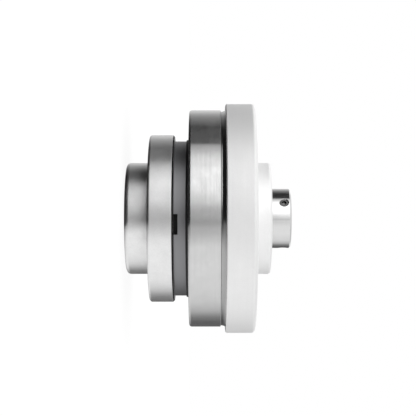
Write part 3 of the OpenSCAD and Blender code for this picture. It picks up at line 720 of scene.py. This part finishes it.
@once
def toothed_ring():
    """The tree of a ring with teeth on its inside, whose outline follows a rule."""
    n, s = new_tree("toothed_ring", {
        "Teeth": 102, "Tip Radius": 0.01862, "Root Radius": 0.01928, "Tip Width": 0.00034,
        "Root Width": 0.00066, "Outer Radius": 0.025, "Edge": 0.0002, "Low": 0.0, "High": 0.006})
    flank, stations = 6.0, 9.0      # points across a tooth, and points along the ring's section
    around = n.times(s["Teeth"], flank)
    grid = n.get("GeometryNodeMeshGrid", {"Vertices X": n.plus(around, 1.0),
                                          "Vertices Y": int(stations)})
    index = n.get("GeometryNodeInputIndex")
    column = n.math("MODULO", n.math("FLOOR", n.over(index, stations)), around)
    station = n.math("MODULO", index, stations)
    tooth = n.math("FLOOR", n.over(column, flank))
    part = n.math("MODULO", column, flank)

    def pick(field, values):
        switch = n.add("GeometryNodeIndexSwitch", data_type="FLOAT")
        while len(switch.index_switch_items) < len(values):
            switch.index_switch_items.new()
        n.put(field, switch.inputs["Index"])
        for k, value in enumerate(values):
            n.put(value, switch.inputs[1 + k])
        return switch.outputs[0]

    root, tip, outer = s["Root Radius"], s["Tip Radius"], s["Outer Radius"]
    low, high, edge = s["Low"], s["High"], s["Edge"]
    middle = n.times(n.plus(tip, root), 0.5)
    half_tip, half_root = n.times(s["Tip Width"], 0.5), n.times(s["Root Width"], 0.5)
    half_mid = n.plus(n.times(half_tip, 0.6), n.times(half_root, 0.4))
    inner = pick(part, [root, middle, tip, tip, middle, root])
    minus = [n.times(w, -1.0) for w in (half_root, half_mid, half_tip)]
    offset = pick(part, [*minus, half_tip, half_mid, half_root])
    turn = n.over(n.times(n.plus(tooth, 0.5), 2 * math.pi), s["Teeth"])
    turn = n.plus(turn, n.over(offset, inner))
    less, near_low, near_high = n.minus(outer, edge), n.plus(low, edge), n.minus(high, edge)
    beside = 0.05 * MM      # a short step beside each broken edge keeps the flat part flat
    radius = pick(station, [inner, less, outer, outer, outer, outer, less, inner, inner])
    height = pick(station, [low, low, near_low, n.plus(near_low, beside),
                            n.minus(near_high, beside), near_high, high, high, low])
    ring = n.get("GeometryNodeSetPosition", {"Geometry": grid,
                                             "Position": n.round_point(radius, turn, height)})
    whole = n.get("GeometryNodeMergeByDistance", {"Geometry": ring, "Distance": 1e-7})
    return close_tree(n, whole, s)


@once
def coil_ring():
    """The tree of a garter spring: wire wound round a circle."""
    n, s = new_tree("coil_ring", {
        "Turns": 120, "Circle Radius": 0.011, "Coil Radius": 0.0002, "Wire Radius": 0.00007,
        "Height": 0.0})
    count = n.times(s["Turns"], 10.0)       # ten points for each turn of the wire
    line = n.get("GeometryNodeCurvePrimitiveCircle", {"Resolution": count})
    turn = n.over(n.times(n.get("GeometryNodeInputIndex"), 2 * math.pi), count)
    wind = n.times(turn, s["Turns"])
    reach = n.plus(s["Circle Radius"], n.times(s["Coil Radius"], n.math("COSINE", wind)))
    rise = n.plus(s["Height"], n.times(s["Coil Radius"], n.math("SINE", wind)))
    wound = n.get("GeometryNodeSetPosition", {"Geometry": line,
                                              "Position": n.round_point(reach, turn, rise)})
    wire = n.get("GeometryNodeCurvePrimitiveCircle", {"Resolution": 6, "Radius": s["Wire Radius"]})
    tube = n.get("GeometryNodeCurveToMesh", {"Curve": wound, "Profile Curve": wire})
    return close_tree(n, tube, s)


# ---------------------------------------------------------------- pieces


def flange_holes(f, high):
    """Cutters for the output flange: threads and counterbored screw holes."""
    c, top, end = f.corner, f.output_hub_end, f.output_hub_end + f.output_tap_depth
    tap, pitch, rows = f.output_tap / 2, 0.5 * MM, 60
    last = end - 0.4 * MM       # height at which the thread runs out
    rule = thread(tap, -0.22 * MM, pitch, top - pitch, last)
    wall = [(tap, last - (last - top) * k / rows) for k in range(rows)]
    taps = drill("taps", [(0.0, end), (tap * 0.98, end - 0.3 * MM), *wall, (tap, top + c),
                          (tap + c, top), (tap + c, top - MM)], 8, f.output_circle, steps=24,
                 radius=lambda r, z, a: rule(r, z, a) if abs(r - tap) < 1e-6 else r)
    seat, shank, head = top + 3.1 * MM, f.output_screw / 2, f.output_head / 2
    screws = drill("screw_holes", [
        (shank, high + MM), (shank, seat), (head, seat), (head, top + c), (head + c, top),
        (head + c, top - MM)], 8, f.output_circle, BETWEEN)
    return taps, screws


class GEAR_OT_output_flange(bpy.types.Operator):
    """Turns the output flange and its hub, and cuts its holes"""
    bl_idname = "gear.output_flange"
    bl_label = "Output flange"

    def execute(self, context):
        f = context.scene.gear_flanges
        r, low, high = span("output_flange")
        hub, top, web, seal = f.output_hub / 2, f.output_hub_end, f.web / 2, f.seal_seat / 2
        seat, clip = f.bearing_seat / 2, f.circlip_groove / 2
        seal_end, bearing = heights("output_shaft_seal")[1], heights("output_bearing_outer_ring")[0]
        clip_low, clip_high = heights("output_bearing_circlip")
        clip_high += 0.05 * MM
        outline = rounded([
            (seal, low, 0.15 * MM), (hub, low, f.output_hub_round), (hub, top, 0.25 * MM),
            (r, top, f.output_round), (r, high - 0.5 * MM, 0.12 * MM),
            (r - 0.5 * MM, high, 0.12 * MM), *end_groove("output_o_ring", high, inwards=True),
            (seat, high, 0.1 * MM), *side_groove(seat, clip, clip_high, clip_low),
            (seat, bearing), (web, bearing), (web, seal_end), (seal, seal_end)])
        pins = drill("pin_holes", [(PIN_HOLE, heights("locating_pins")[0]), (PIN_HOLE, high + MM)],
                     2, f.output_circle, PIN_PLACE, 32)
        flange = lathe("output_flange_turned", outline, *flange_holes(f, high), pins)
        wear(flange, "output", "satin_flange", "output_flange")
        touch_up(flange, "turned_face", lambda face: face.normal.z < -0.9
                 and abs(face.center.z - top) < 0.1 * f.corner)
        tall, wide = 0.42 * MM, 0.49 * MM       # the part of the chamfer painted black: painted shade in the joint's groove
        touch_up(flange, "painted_shade_faces", lambda face: face.center.z > high - tall
                 and face.center.xy.length > r - wide)
        return {"FINISHED"}


class GEAR_OT_circular_spline(bpy.types.Operator):
    """Grows the toothed ring of the circular spline, and cuts its holes and pry notch"""
    bl_idname = "gear.circular_spline"
    bl_label = "Circular spline"

    def execute(self, context):
        f, g = context.scene.gear_flanges, context.scene.gear_teeth
        r, low, high = span("circular_spline")
        spline = grow(as_object(bmesh.new(), "circular_spline_cut"), toothed_ring(), "dark_steel", {
            "Teeth": g.spline_teeth, "Tip Radius": g.spline_tip, "Root Radius": g.spline_root,
            "Outer Radius": r, "Low": low, "High": high, "Edge": f.corner})
        shape = bmesh.new()
        shape.from_mesh(spline.data)
        outward(shape).to_mesh(spline.data)
        shape.free()
        shank, pin_top = f.output_screw / 2, heights("locating_pins")[1]
        holes = drill("screw_holes", [(shank, low - MM), (shank, high + MM)], 8, f.output_circle,
                      BETWEEN, 32)
        pins = drill("pin_holes", [(PIN_HOLE, low - MM), (PIN_HOLE, pin_top)], 2, f.output_circle,
                     PIN_PLACE, 32)
        block = bmesh.new()
        bmesh.ops.create_cube(block, size=1.0)
        size = (2 * g.notch_depth, g.notch_length, 2 * g.notch_width)
        block.transform(Matrix.Rotation(g.notch_angle, 4, "Z") @ Matrix.Translation((r, 0, low))
                        @ Matrix.Diagonal((*size, 1.0)))
        cut(spline, holes, pins, as_object(block, "notch"))
        wear(smooth(spline, NOTCH_SHARP), "output", "dark_steel", "circular_spline")
        turn = Matrix.Rotation(-g.notch_angle, 3, "Z")

        def in_notch(face):
            spot = turn @ face.center
            return (r - 1.01 * g.notch_depth < spot.x < r - f.corner
                    and abs(spot.y) < 0.51 * g.notch_length and spot.z < low + 1.01 * g.notch_width)

        # The pry notch's faces are painted black: painted shade for a deep, unlit slot
        touch_up(spline, "painted_shade_faces", in_notch)
        return {"FINISHED"}


class GEAR_OT_main_ring(bpy.types.Operator):
    """Turns and grinds the outer ring of the cross-roller bearing"""
    bl_idname = "gear.main_ring"
    bl_label = "Main ring"

    def execute(self, context):
        f, g = context.scene.gear_flanges, context.scene.gear_teeth
        r, low, high = span("bearing_outer_ring")
        bore, hole, c = g.roller_circle / 2 + 0.2 * MM, f.housing_hole / 2, f.corner
        pocket, floor = 28.6 * MM, low + 1.0 * MM       # for the bearing seal
        middle = sum(heights("roller_spacers")) / 2
        point = (g.roller + 0.04 * MM) / math.sqrt(2)
        mouth = point - 0.2 * MM
        outline = rounded([
            (pocket, low, 0.1 * MM), (r, low, 0.8 * MM), (r, high - 0.2 * MM, 0.06 * MM),
            (r - 0.2 * MM, high, 0.06 * MM), *end_groove("ring_o_ring", high, inwards=True),
            (bore, high, 0.1 * MM), (bore, middle + mouth),
            (g.roller_circle / 2 + point, middle, 0.05 * MM), (bore, middle - mouth),
            (bore, floor), (pocket, floor)])
        holes = drill("mounting_holes", [(hole + c, low - MM), (hole + c, low), (hole, low + c),
                                         (hole, high + MM)], 8, f.housing_circle)
        tap, end = 1.02 * MM, heights("housing_screws")[0] - 0.3 * MM
        taps = drill("housing_taps", [(tap, end), (tap, high + MM)], 4, f.housing_circle, BETWEEN,
                     24)
        wear(lathe("main_ring_ground", outline, holes, taps), "housing", "ground_ring",
             "bearing_outer_ring")
        return {"FINISHED"}


class GEAR_OT_input_flange(bpy.types.Operator):
    """Turns the wide input flange and its hub, and cuts its holes"""
    bl_idname = "gear.input_flange"
    bl_label = "Input flange"

    def execute(self, context):
        f = context.scene.gear_flanges
        r, low, high = span("input_flange")
        hub, web, seal = f.input_hub / 2, f.web / 2, f.seal_seat / 2
        seat, clip, top = f.bearing_seat / 2, f.circlip_groove / 2, f.input_hub_start
        register = span("bearing_outer_ring")[0] + 0.1 * MM
        floor = heights("flexspline")[1]
        recess, bottom = 26.2 * MM, floor + 0.8 * MM        # shallow recess over the diaphragm
        seal_start, bearing = heights("input_shaft_seal")[0], heights("input_bearing_outer_ring")[1]
        clip_low, clip_high = heights("input_bearing_circlip")
        clip_low -= 0.05 * MM
        outline = rounded([
            (register, low), (r - 0.3 * MM, low, 0.1 * MM), (r, low + 0.3 * MM, 0.1 * MM),
            (r, top, f.input_round), (hub, top, 0.25 * MM), (hub, high, f.input_hub_round),
            (seal, high, 0.15 * MM), (seal, seal_start), (web, seal_start), (web, bearing),
            (seat, bearing), *side_groove(seat, clip, clip_high, clip_low), (seat, bottom),
            (recess, bottom), (recess, floor), *end_groove("flange_o_ring", floor),
            (register, floor)])
        c, hole, shank, head = f.corner, f.housing_hole / 2, f.housing_screw / 2, f.housing_head / 2
        holes = drill("mounting_holes", [(hole, low - MM), (hole, top - c), (hole + c, top),
                                         (hole + c, top + MM)], 8, f.housing_circle)
        face = top - 2.1 * MM       # where the screw heads sit
        screws = drill("screw_holes", [
            (shank, low - MM), (shank, face), (head, face), (head, top - c), (head + c, top),
            (head + c, top + MM)], 4, f.housing_circle, BETWEEN)
        flange = lathe("input_flange_turned", outline, holes, screws)
        wear(flange, "housing", "pale_flange", "input_flange")
        touch_up(flange, "turned_face", lambda face: face.normal.z < -0.9
                 and face.center.z < low + 0.1 * f.corner)
        return {"FINISHED"}


class GEAR_OT_brim_edge(bpy.types.Operator):
    """Turns the hollow edge band of the flexspline's brim, between main ring and input flange"""
    bl_idname = "gear.brim_edge"
    bl_label = "Brim edge"

    def execute(self, context):
        gap, steps = 0.02 * MM, 10
        low, high = heights("bearing_outer_ring")[1] + gap, heights("input_flange")[0] - gap
        brim, ring = span("flexspline")[0], span("bearing_outer_ring")[0]
        inner, start, end = brim - 0.2 * MM, brim + 0.08 * MM, ring - gap
        opening = 2 * math.atan2(end - start, high - low)
        sweep = (high - low) / math.sin(opening)
        outline = [(inner, low), (start, low)]
        for k in range(1, steps + 1):
            a = opening * k / steps
            outline.append((start + sweep * (1 - math.cos(a)), low + sweep * math.sin(a)))
        outline.append((inner, high))
        band = as_object(sweep_round(outline, FINE), "brim_edge_polished")
        wear(smooth(band), "housing", "flexspline_steel", look="brim_edge")
        return {"FINISHED"}


class GEAR_OT_hollow_shaft(bpy.types.Operator):
    """Turns the hollow shaft with its oval cam, and drills its set screw holes"""
    bl_idname = "gear.hollow_shaft"
    bl_label = "Hollow shaft"

    def execute(self, context):
        h, g = context.scene.gear_shaft, context.scene.gear_teeth
        low, high = heights("hollow_shaft")
        bore, end, seat, neck = h.bore / 2, h.end / 2, h.seat / 2, h.groove / 2
        c, clip, cam = h.chamfer, 0.6 * MM, h.cam / 2
        collar, shoulder = 13.4 * MM, 11.5 * MM
        cam_low, cam_high = heights("flexible_bearing_inner_race")
        collar_end = cam_high + 1.6 * MM
        clip_low, clip_high = heights("shaft_circlips")
        front = heights("input_bearing_inner_ring")[0]
        step = heights("input_shaft_seal")[1] + 0.2 * MM
        outline = rounded([
            (bore + c, low, 0.08 * MM), (seat - c, low, 0.08 * MM), (seat, low + c, 0.08 * MM),
            *side_groove(seat, neck, clip_low, clip_low + clip), (seat, cam_low, 0.1 * MM),
            (cam, cam_low, 0, 1.0), (cam, cam_high, 0, 1.0),
            (collar, cam_high, 0.15 * MM), (collar, collar_end, 0.15 * MM),
            (shoulder, collar_end, 0.15 * MM), (shoulder, front, 0.15 * MM), (seat, front, 0.1 * MM),
            *side_groove(seat, neck, clip_high - clip, clip_high), (seat, step, 0.1 * MM),
            (end, step, 0.15 * MM),
            (end, high - c, 0.08 * MM), (end - c, high, 0.08 * MM), (bore + c, high, 0.08 * MM),
            (bore, high - c, 0.08 * MM), (bore, low + c, 0.08 * MM)])
        hole, sink = h.screw / 2 + 0.02 * MM, h.countersink
        lift = Matrix.Translation((0, 0, h.screw_height))
        lay = Matrix.Rotation(math.pi / 2, 4, "Y")
        holes = drill("set_screw_holes", [(hole, bore - MM), (hole, end - sink),
                                          (hole + 2 * sink, end + sink)],
                      h.screws, 0.0, h.screw_angle, 40,
                      turn=lambda a: lift @ Matrix.Rotation(a, 4, "Z") @ lay)
        shaft = lathe("hollow_shaft_ground", outline, holes, steps=192, wave=g.wave)
        wear(shaft, "input", "shaft_steel", "hollow_shaft")
        return {"FINISHED"}


class GEAR_OT_seals(bpy.types.Operator):
    """Moulds the bearing seal and the two shaft seals, and winds their springs"""
    bl_idname = "gear.seals"
    bl_label = "Seals"

    def execute(self, context):
        r, low, high = span("bearing_seal")
        lip = span("circular_spline")[0] + 0.05 * MM
        front = heights("bearing_outer_ring")[0]
        seal = as_object(sweep_round(rounded([
            (lip, low, 0.05 * MM), (lip + 0.3 * MM, low, 0.1 * MM),
            (lip + 0.5 * MM, front - 0.2 * MM, 0.1 * MM), (r - 0.6 * MM, front, 0.1 * MM),
            (r, front), (r, high), (lip + 0.9 * MM, high, 0.05 * MM),
            (lip, front + 0.2 * MM, 0.05 * MM)], 0.02 * MM), FINE), "bearing_seal_moulded")
        wear(smooth(seal), "housing", "black_rubber", "bearing_seal")
        for side, body in (("output", "output"), ("input", "housing")):
            r, low, high = span(f"{side}_shaft_seal")
            inner, w = context.scene.gear_shaft.seat / 2 + 0.05 * MM, high - low
            near, far, flat = inner + 1.35 * MM, r - 0.9 * MM, 0.9 * MM
            mesh = sweep_round(rounded([
                (inner + 0.8 * MM, 0, 0.15 * MM), (r - 1.6 * MM, 0, 0.1 * MM),
                (r - 1.45 * MM, 0.12 * MM, 0.05 * MM), (far, 0.12 * MM, 0.05 * MM),
                (r - 0.75 * MM, 0, 0.1 * MM), (r, 0, 0.2 * MM), (r, w, 0.1 * MM),
                (far, w, 0.1 * MM), (far, flat, 0.2 * MM), (inner + 1.9 * MM, flat, 0.2 * MM),
                (near, 1.9 * MM, 0.1 * MM), (near, 3.1 * MM, 0.1 * MM),
                (inner + 0.5 * MM, 3.1 * MM, 0.1 * MM), (inner, 2.4 * MM, 0.05 * MM)],
                0.02 * MM), 160)
            if side == "input":
                mesh.transform(Matrix.Translation((0, 0, high)) @ Matrix.Scale(-1, 4, (0, 0, 1)))
                outward(mesh)
            else:
                mesh.transform(Matrix.Translation((0, 0, low)))
            piece = as_object(mesh, f"{side}_seal_moulded")
            wear(smooth(piece), body, "black_rubber", f"{side}_shaft_seal")
            out, low, high = span(f"{side}_seal_spring")
            coil, wire = (high - low) / 2, 0.07 * MM
            spring = grow(as_object(bmesh.new(), f"{side}_spring_wound"), coil_ring(),
                          "bearing_steel", {
                "Turns": 150, "Circle Radius": out - coil, "Coil Radius": coil - 0.08 * MM,
                "Wire Radius": wire, "Height": (low + high) / 2})
            wear(smooth(spring, SPRING_SHARP), body, "bearing_steel", f"{side}_seal_spring")
        return {"FINISHED"}


def socket_radius(flats, a):
    """Distance from the middle of a hexagon to its side at an angle."""
    return flats / 2 / math.cos((a + math.pi / 6) % (math.pi / 3) - math.pi / 6)


def cap_screw(size, head, long, socket, pitch):
    """A cap screw with a knurled head and a hexagon socket: seat at height 0, head above."""
    r, hr, edge, wall = size / 2, head / 2, 0.25 * MM, size * 0.5
    start, turns = edge - long, int(long * 0.55 / pitch)
    rows = [(0.0, -long, ""), (r - edge, -long, "")]
    rows += [(r, start + pitch * k / 4, "thread") for k in range(turns * 4)]
    rows += [(r, -0.3 * MM, ""), (r, -0.1 * MM, ""), (r + 0.12 * MM, 0, ""), (hr - 0.12 * MM, 0, ""),
             (hr, 0.12 * MM, ""), (hr, 0.3 * MM, "knurl"), (hr, size - 0.55 * MM, "knurl"),
             (hr, size - 0.4 * MM, ""), (hr - 0.05 * MM, size - 0.2 * MM, ""),
             (hr - edge, size, ""), (socket * 0.62, size, ""),
             (socket * 0.595, size - 0.04 * MM, ""), (0.0, size - 0.25 * MM, "socket"),
             (0.0, size - wall, "socket"), (socket * 0.42, size - wall - 0.02 * MM, ""),
             (0.0, size - wall - 0.3 * MM, "")]
    steps = 60
    rule = thread(r, 0.3 * pitch, pitch, start, start + pitch * turns)
    rings = []
    for i in range(steps):
        a = 2 * math.pi * i / steps
        ring = []
        for x, z, kind in rows:
            if kind == "thread":
                x = rule(x, z, a)
            elif kind == "knurl":
                x -= 0.09 * MM * (i % 2)
            elif kind == "socket":
                x = socket_radius(socket, a)
            ring.append((x * math.cos(a), x * math.sin(a), z))
        rings.append(ring)
    return outward(weave(rings, range(1, len(rows))))


def set_screw(r, start):
    """A set screw that lies along X, with a cup point at the start and a hexagon socket."""
    long, pitch, edge, near = 2.2 * MM, 0.4 * MM, 0.2 * MM, 1e-6
    rule = thread(r, 0.12 * MM, pitch, start + edge, start + long - edge)
    rows = [(0.0, start + edge), (0.5 * MM, start + edge), (0.75 * MM, start), (r - edge, start)]
    rows += [(r, start + edge + (long - 2 * edge) * k / 20) for k in range(21)]
    rows += [(r - edge, start + long)]
    mesh = sweep_round(rows, 48, lambda x, z, a: rule(x, z, a) if abs(x - r) < near else x,
                       closed=False)
    rim = {v for e in mesh.edges if e.is_boundary for v in e.verts}
    ring = sorted(rim, key=lambda v: math.atan2(v.co.y, v.co.x))
    for depth, flats in ((0.0, 1.62), (0.08, 1.5), (1.1, 1.5), (1.3, 0.02)):
        inner = []
        for v in ring:
            a = math.atan2(v.co.y, v.co.x)
            x = socket_radius(flats * MM, a)
            inner.append(mesh.verts.new((x * math.cos(a), x * math.sin(a),
                                         start + long - depth * MM)))
        for i in range(len(ring)):
            k = (i + 1) % len(ring)
            mesh.faces.new((ring[i], ring[k], inner[k], inner[i]))
        ring = inner
    mesh.faces.new(ring)
    outward(mesh).transform(Matrix.Rotation(math.pi / 2, 4, "Y"))
    return mesh


class GEAR_OT_screws(bpy.types.Operator):
    """Makes the cap screws, set screws and locating pins and stands them in their circles"""
    bl_idname = "gear.screws"
    bl_label = "Screws and pins"

    def execute(self, context):
        f, h = context.scene.gear_flanges, context.scene.gear_shaft
        for side, size, head, socket, pitch, count, circle in (
                ("output", 3 * MM, 5.5 * MM, 2.5 * MM, 0.5 * MM, 8, f.output_circle),
                ("housing", 2 * MM, 3.8 * MM, 1.5 * MM, 0.4 * MM, 4, f.housing_circle)):
            low, high = heights(f"{side}_screws")
            mesh, seat = cap_screw(size, head, high - low - size, socket, pitch), high - size
            if side == "output":
                mesh.transform(Matrix.Rotation(math.pi, 4, "X"))
                seat = low + size
            screws = stand(mesh, f"{side}_cap_screws", "black_screws", count, circle, seat, BETWEEN)
            wear(smooth(screws, SCREW_SHARP), side, "black_screws", f"{side}_screws")
        low, high = heights("locating_pins")
        r, long, turn = 1.0 * MM, high - low, 0.25 * MM
        pin = sweep_round(rounded([(0.0, 0.0), (r, 0.0, turn), (r, long, turn), (0.0, long)]), 32,
                          closed=False)
        pins = stand(pin, "locating_pins_ground", "bearing_steel", 2, f.output_circle, low,
                     PIN_PLACE)
        wear(smooth(pins), "output", "bearing_steel", "locating_pins")
        mesh = set_screw(h.screw / 2, h.bore / 2 + 0.15 * MM)
        screws = stand(mesh, "set_screws_threaded", "set_screws", h.screws, 0.0, h.screw_height,
                       h.screw_angle)
        wear(smooth(screws, SCREW_SHARP), "input", "black_screws", "clamp_set_screws",
             look="set_screws")
        return {"FINISHED"}


class GEAR_OT_rolling_parts(bpy.types.Operator):
    """Makes the balls and crossed rollers and stands them in their circles"""
    bl_idname = "gear.rolling_parts"
    bl_label = "Balls and rollers"

    def execute(self, context):
        g = context.scene.gear_teeth
        for name, body, d, count, circle, wave in (
                ("input_bearing_balls", "input_ball_set", g.ball, g.balls, g.ball_circle, 0.0),
                ("output_bearing_balls", "output_ball_set", g.ball, g.balls, g.ball_circle, 0.0),
                ("flexible_bearing_balls", "input", g.flex_ball, g.flex_balls, g.flex_circle,
                 g.wave)):
            mesh = bmesh.new()
            bmesh.ops.create_icosphere(mesh, subdivisions=4, radius=d / 2)
            balls = stand(mesh, name + "_polished", "bearing_steel", count, circle,
                          sum(heights(name)) / 2, wave=wave)
            wear(smooth(balls, math.pi), body, "bearing_steel", name)
        r, half, turn = g.roller / 2, (g.roller - 0.1 * MM) / 2, 0.15 * MM
        mesh = sweep_round(rounded([(0.0, -half), (r, -half, turn), (r, half, turn), (0.0, half)],
                                   0.03 * MM), 40, closed=False)
        rollers = stand(mesh, "cross_rollers_ground", "bearing_steel", g.rollers, g.roller_circle,
                        sum(heights("cross_rollers")) / 2, tilt=math.pi / 4)
        wear(smooth(rollers), "cross_roller_set", "bearing_steel", "cross_rollers")
        return {"FINISHED"}


class GEAR_OT_frame_finishes(bpy.types.Operator):
    """Gives every node of the frame the finish of its slot"""
    bl_idname = "gear.frame_finishes"
    bl_label = "Finishes of the frame"

    def execute(self, context):
        looks = finishes()
        slot_of = {entry["node"]: entry["material_slot"] for entry in frame["record"]["subparts"]}
        for name, thing in frame["nodes"].items():
            slot = slot_of[name]
            if not thing.material_slots:
                thing.data.materials.append(looks[slot])
            for entry in thing.material_slots:
                entry.material = looks[slot]
        return {"FINISHED"}


# ---------------------------------------------------------------- studio


def ramp(n, value, stops):
    """A ramp of grey levels from (place, level) stops."""
    node = n.add("ShaderNodeValToRGB", {"Fac": value})
    bar = node.color_ramp.elements
    while len(bar) > 1:
        bar.remove(bar[-1])
    for i, (place, level) in enumerate(stops):
        mark = bar[0] if i == 0 else bar.new(place)
        mark.position = place
        mark.color = (level, level, level, 1.0)
    return node.outputs["Color"]


def stage_piece(mesh, name, paint, grey, glow, unseen):
    """A matt grey piece of the stage, which may glow and which some kinds of rays don't see."""
    thing = as_object(mesh, name)
    for ray in unseen:
        setattr(thing, "visible_" + ray, False)
    material, n = blank(bpy.data.materials, paint)
    shader = n.get("ShaderNodeBsdfDiffuse", {"Color": (grey, grey, grey, 1.0)})
    if glow:
        light = n.get("ShaderNodeEmission", {"Color": WHITE, "Strength": glow})
        shader = n.get("ShaderNodeAddShader", {0: light, 1: shader})
    n.add("ShaderNodeOutputMaterial", {"Surface": shader})
    thing.data.materials.append(material)


class GEAR_OT_studio(bpy.types.Operator):
    """Sets up the floor, the soft studio light and the camera"""
    bl_idname = "gear.studio"
    bl_label = "Studio"

    # Angle from the camera, upwards over the gear, and the light that comes from there
    AROUND = ((-180, 0.3), (-160, 0.13), (-140, 0.13), (-126, 0.25), (-112, 0.6), (-95, 0.86),
              (-60, 1.0), (-13, 0.97), (-10, 1.07), (-7, 0.97), (-3, 0.82), (1, 1.05), (14, 1.35),
              (31, 1.8), (48, 2.0), (66, 1.4), (79, 0.68), (83.5, 0.52), (85, 0.035),
              (112, 0.02), (135, 0.3), (160, 0.75), (180, 0.3))
    # The same angle, and what is left of the light beside the dark camera
    CAMERA = ((-180, 1.0), (-30, 1.0), (-16, 0.35), (-7, 0.02), (8, 0.0), (13, 0.3), (19, 0.75),
              (28, 1.0), (180, 1.0))

    def light(self, context):
        """The studio light, which depends on its direction and is plain white for the camera."""
        context.scene.world, n = blank(bpy.data.worlds, "studio")
        x, y, z = n.split(n.add("ShaderNodeTexCoord").outputs["Generated"])
        turn = n.math("ARCTAN2", n.times(x, -1.0), n.times(y, -1.0))
        spot = n.plus(n.over(turn, 2 * math.pi), 0.5)
        top = 2.0       # brightest level of the band
        band = ramp(n, spot, [((a + 180) / 360, level / top) for a, level in self.AROUND])
        dark = ramp(n, spot, [((a + 180) / 360, level) for a, level in self.CAMERA])
        left = n.fade(z, 0.08, -0.08, 0.0, 1.0)     # the camera's dark is on this side only
        beside = n.minus(1.0, n.times(left, n.minus(1.0, dark)))
        band = n.times(n.times(band, top), beside)
        front_end, back_end = n.fade(z, -0.1, -0.45, 0.0, 1.0), n.fade(z, 0.1, 0.45, 0.0, 1.0)
        # The output end is lit from the +X side only, the input end from all round
        low = n.fade(x, -0.05, 0.5, 0.03, 0.9)
        high = n.times(n.fade(z, 0.3, 0.6, 1.35, 0.82), n.fade(x, 0.7, -0.7, 0.82, 1.18))
        ends = n.plus(n.times(low, front_end), n.times(high, back_end))
        keep = n.minus(n.minus(1.0, front_end), back_end)
        level = n.times(n.plus(n.times(band, keep), ends), context.scene.gear_stage.light)
        path = n.add("ShaderNodeLightPath").outputs
        seen = n.math("MAXIMUM", path["Is Camera Ray"], path["Is Transmission Ray"])
        studio = n.get("ShaderNodeBackground", {"Color": WHITE, "Strength": level})
        plain = n.get("ShaderNodeBackground", {"Color": WHITE, "Strength": 1.0})
        both = n.get("ShaderNodeMixShader", {0: seen, 1: studio, 2: plain})
        n.add("ShaderNodeOutputWorld", {"Surface": both})

    def execute(self, context):
        s = context.scene.gear_stage
        self.light(context)
        mesh = bmesh.new()
        bmesh.ops.create_circle(mesh, cap_ends=True, segments=96, radius=s.floor)
        mesh.transform(Matrix.Translation((0, 0, CAD_BOX[0][2] - 0.05 * MM)))
        stage_piece(mesh, "floor", "white_floor", 0.15, 0.9, ("glossy", "diffuse", "transmission"))
        mesh = bmesh.new()
        bmesh.ops.create_grid(mesh, x_segments=1, y_segments=1, size=0.5)
        mesh.transform(Matrix.Translation((4 * MM - s.card_size / 2, -s.card_size / 2, -s.card))
                       @ Matrix.Diagonal((s.card_size, s.card_size, 1.0, 1.0)))
        stage_piece(mesh, "dark_card", "black_card", 0.02, 0.0,
                    ("camera", "diffuse", "shadow", "transmission"))
        camera = bpy.data.cameras.new("camera")
        holder = bpy.data.objects.new("camera", camera)
        context.scene.collection.objects.link(holder)
        aim = Matrix((Vector((0, 0, 1)), Vector((-1, 0, 0)), Vector((0, -1, 0)))).transposed()
        place = aim.to_4x4()
        place.translation = Vector((-s.rise, -s.distance, s.middle))
        holder.matrix_world = place
        camera.lens = s.lens
        camera.clip_start, camera.clip_end = 0.01, 10.0
        context.scene.camera = holder
        context.scene.view_settings.view_transform = "Standard"
        return {"FINISHED"}


# ---------------------------------------------------------------- panel and registration

MAKERS = (GEAR_OT_frame_finishes, GEAR_OT_output_flange, GEAR_OT_circular_spline,
          GEAR_OT_main_ring, GEAR_OT_input_flange, GEAR_OT_brim_edge, GEAR_OT_hollow_shaft,
          GEAR_OT_seals, GEAR_OT_screws, GEAR_OT_rolling_parts, GEAR_OT_studio)
SETTINGS = {"gear_flanges": FlangeSizes, "gear_teeth": GearSizes, "gear_shaft": ShaftSizes,
            "gear_finish": FinishSettings, "gear_stage": StageSettings}


class GEAR_PT_panel(bpy.types.Panel):
    """Lists the makers of the gear's pieces and their settings"""
    bl_idname = "GEAR_PT_panel"
    bl_label = "Strain wave gear"
    bl_space_type = "VIEW_3D"
    bl_region_type = "UI"
    bl_category = "Gear"

    def draw(self, context):
        for maker in MAKERS:
            self.layout.operator(maker.bl_idname)
        for key in SETTINGS:
            group = getattr(context.scene, key)
            box = self.layout.box()
            for name in group.__annotations__:
                box.prop(group, name)


def register():
    for kind in (*SETTINGS.values(), *MAKERS, GEAR_PT_panel):
        bpy.utils.register_class(kind)
    for key, kind in SETTINGS.items():
        setattr(bpy.types.Scene, key, PointerProperty(type=kind))


def unregister():
    for key in SETTINGS:
        delattr(bpy.types.Scene, key)
    for kind in reversed((*SETTINGS.values(), *MAKERS, GEAR_PT_panel)):
        bpy.utils.unregister_class(kind)


def main():
    """Makes every piece and the studio."""
    register()
    for maker in MAKERS:
        family, word = maker.bl_idname.split(".")
        getattr(getattr(bpy.ops, family), word)()


if __name__ == "__main__":
    main()
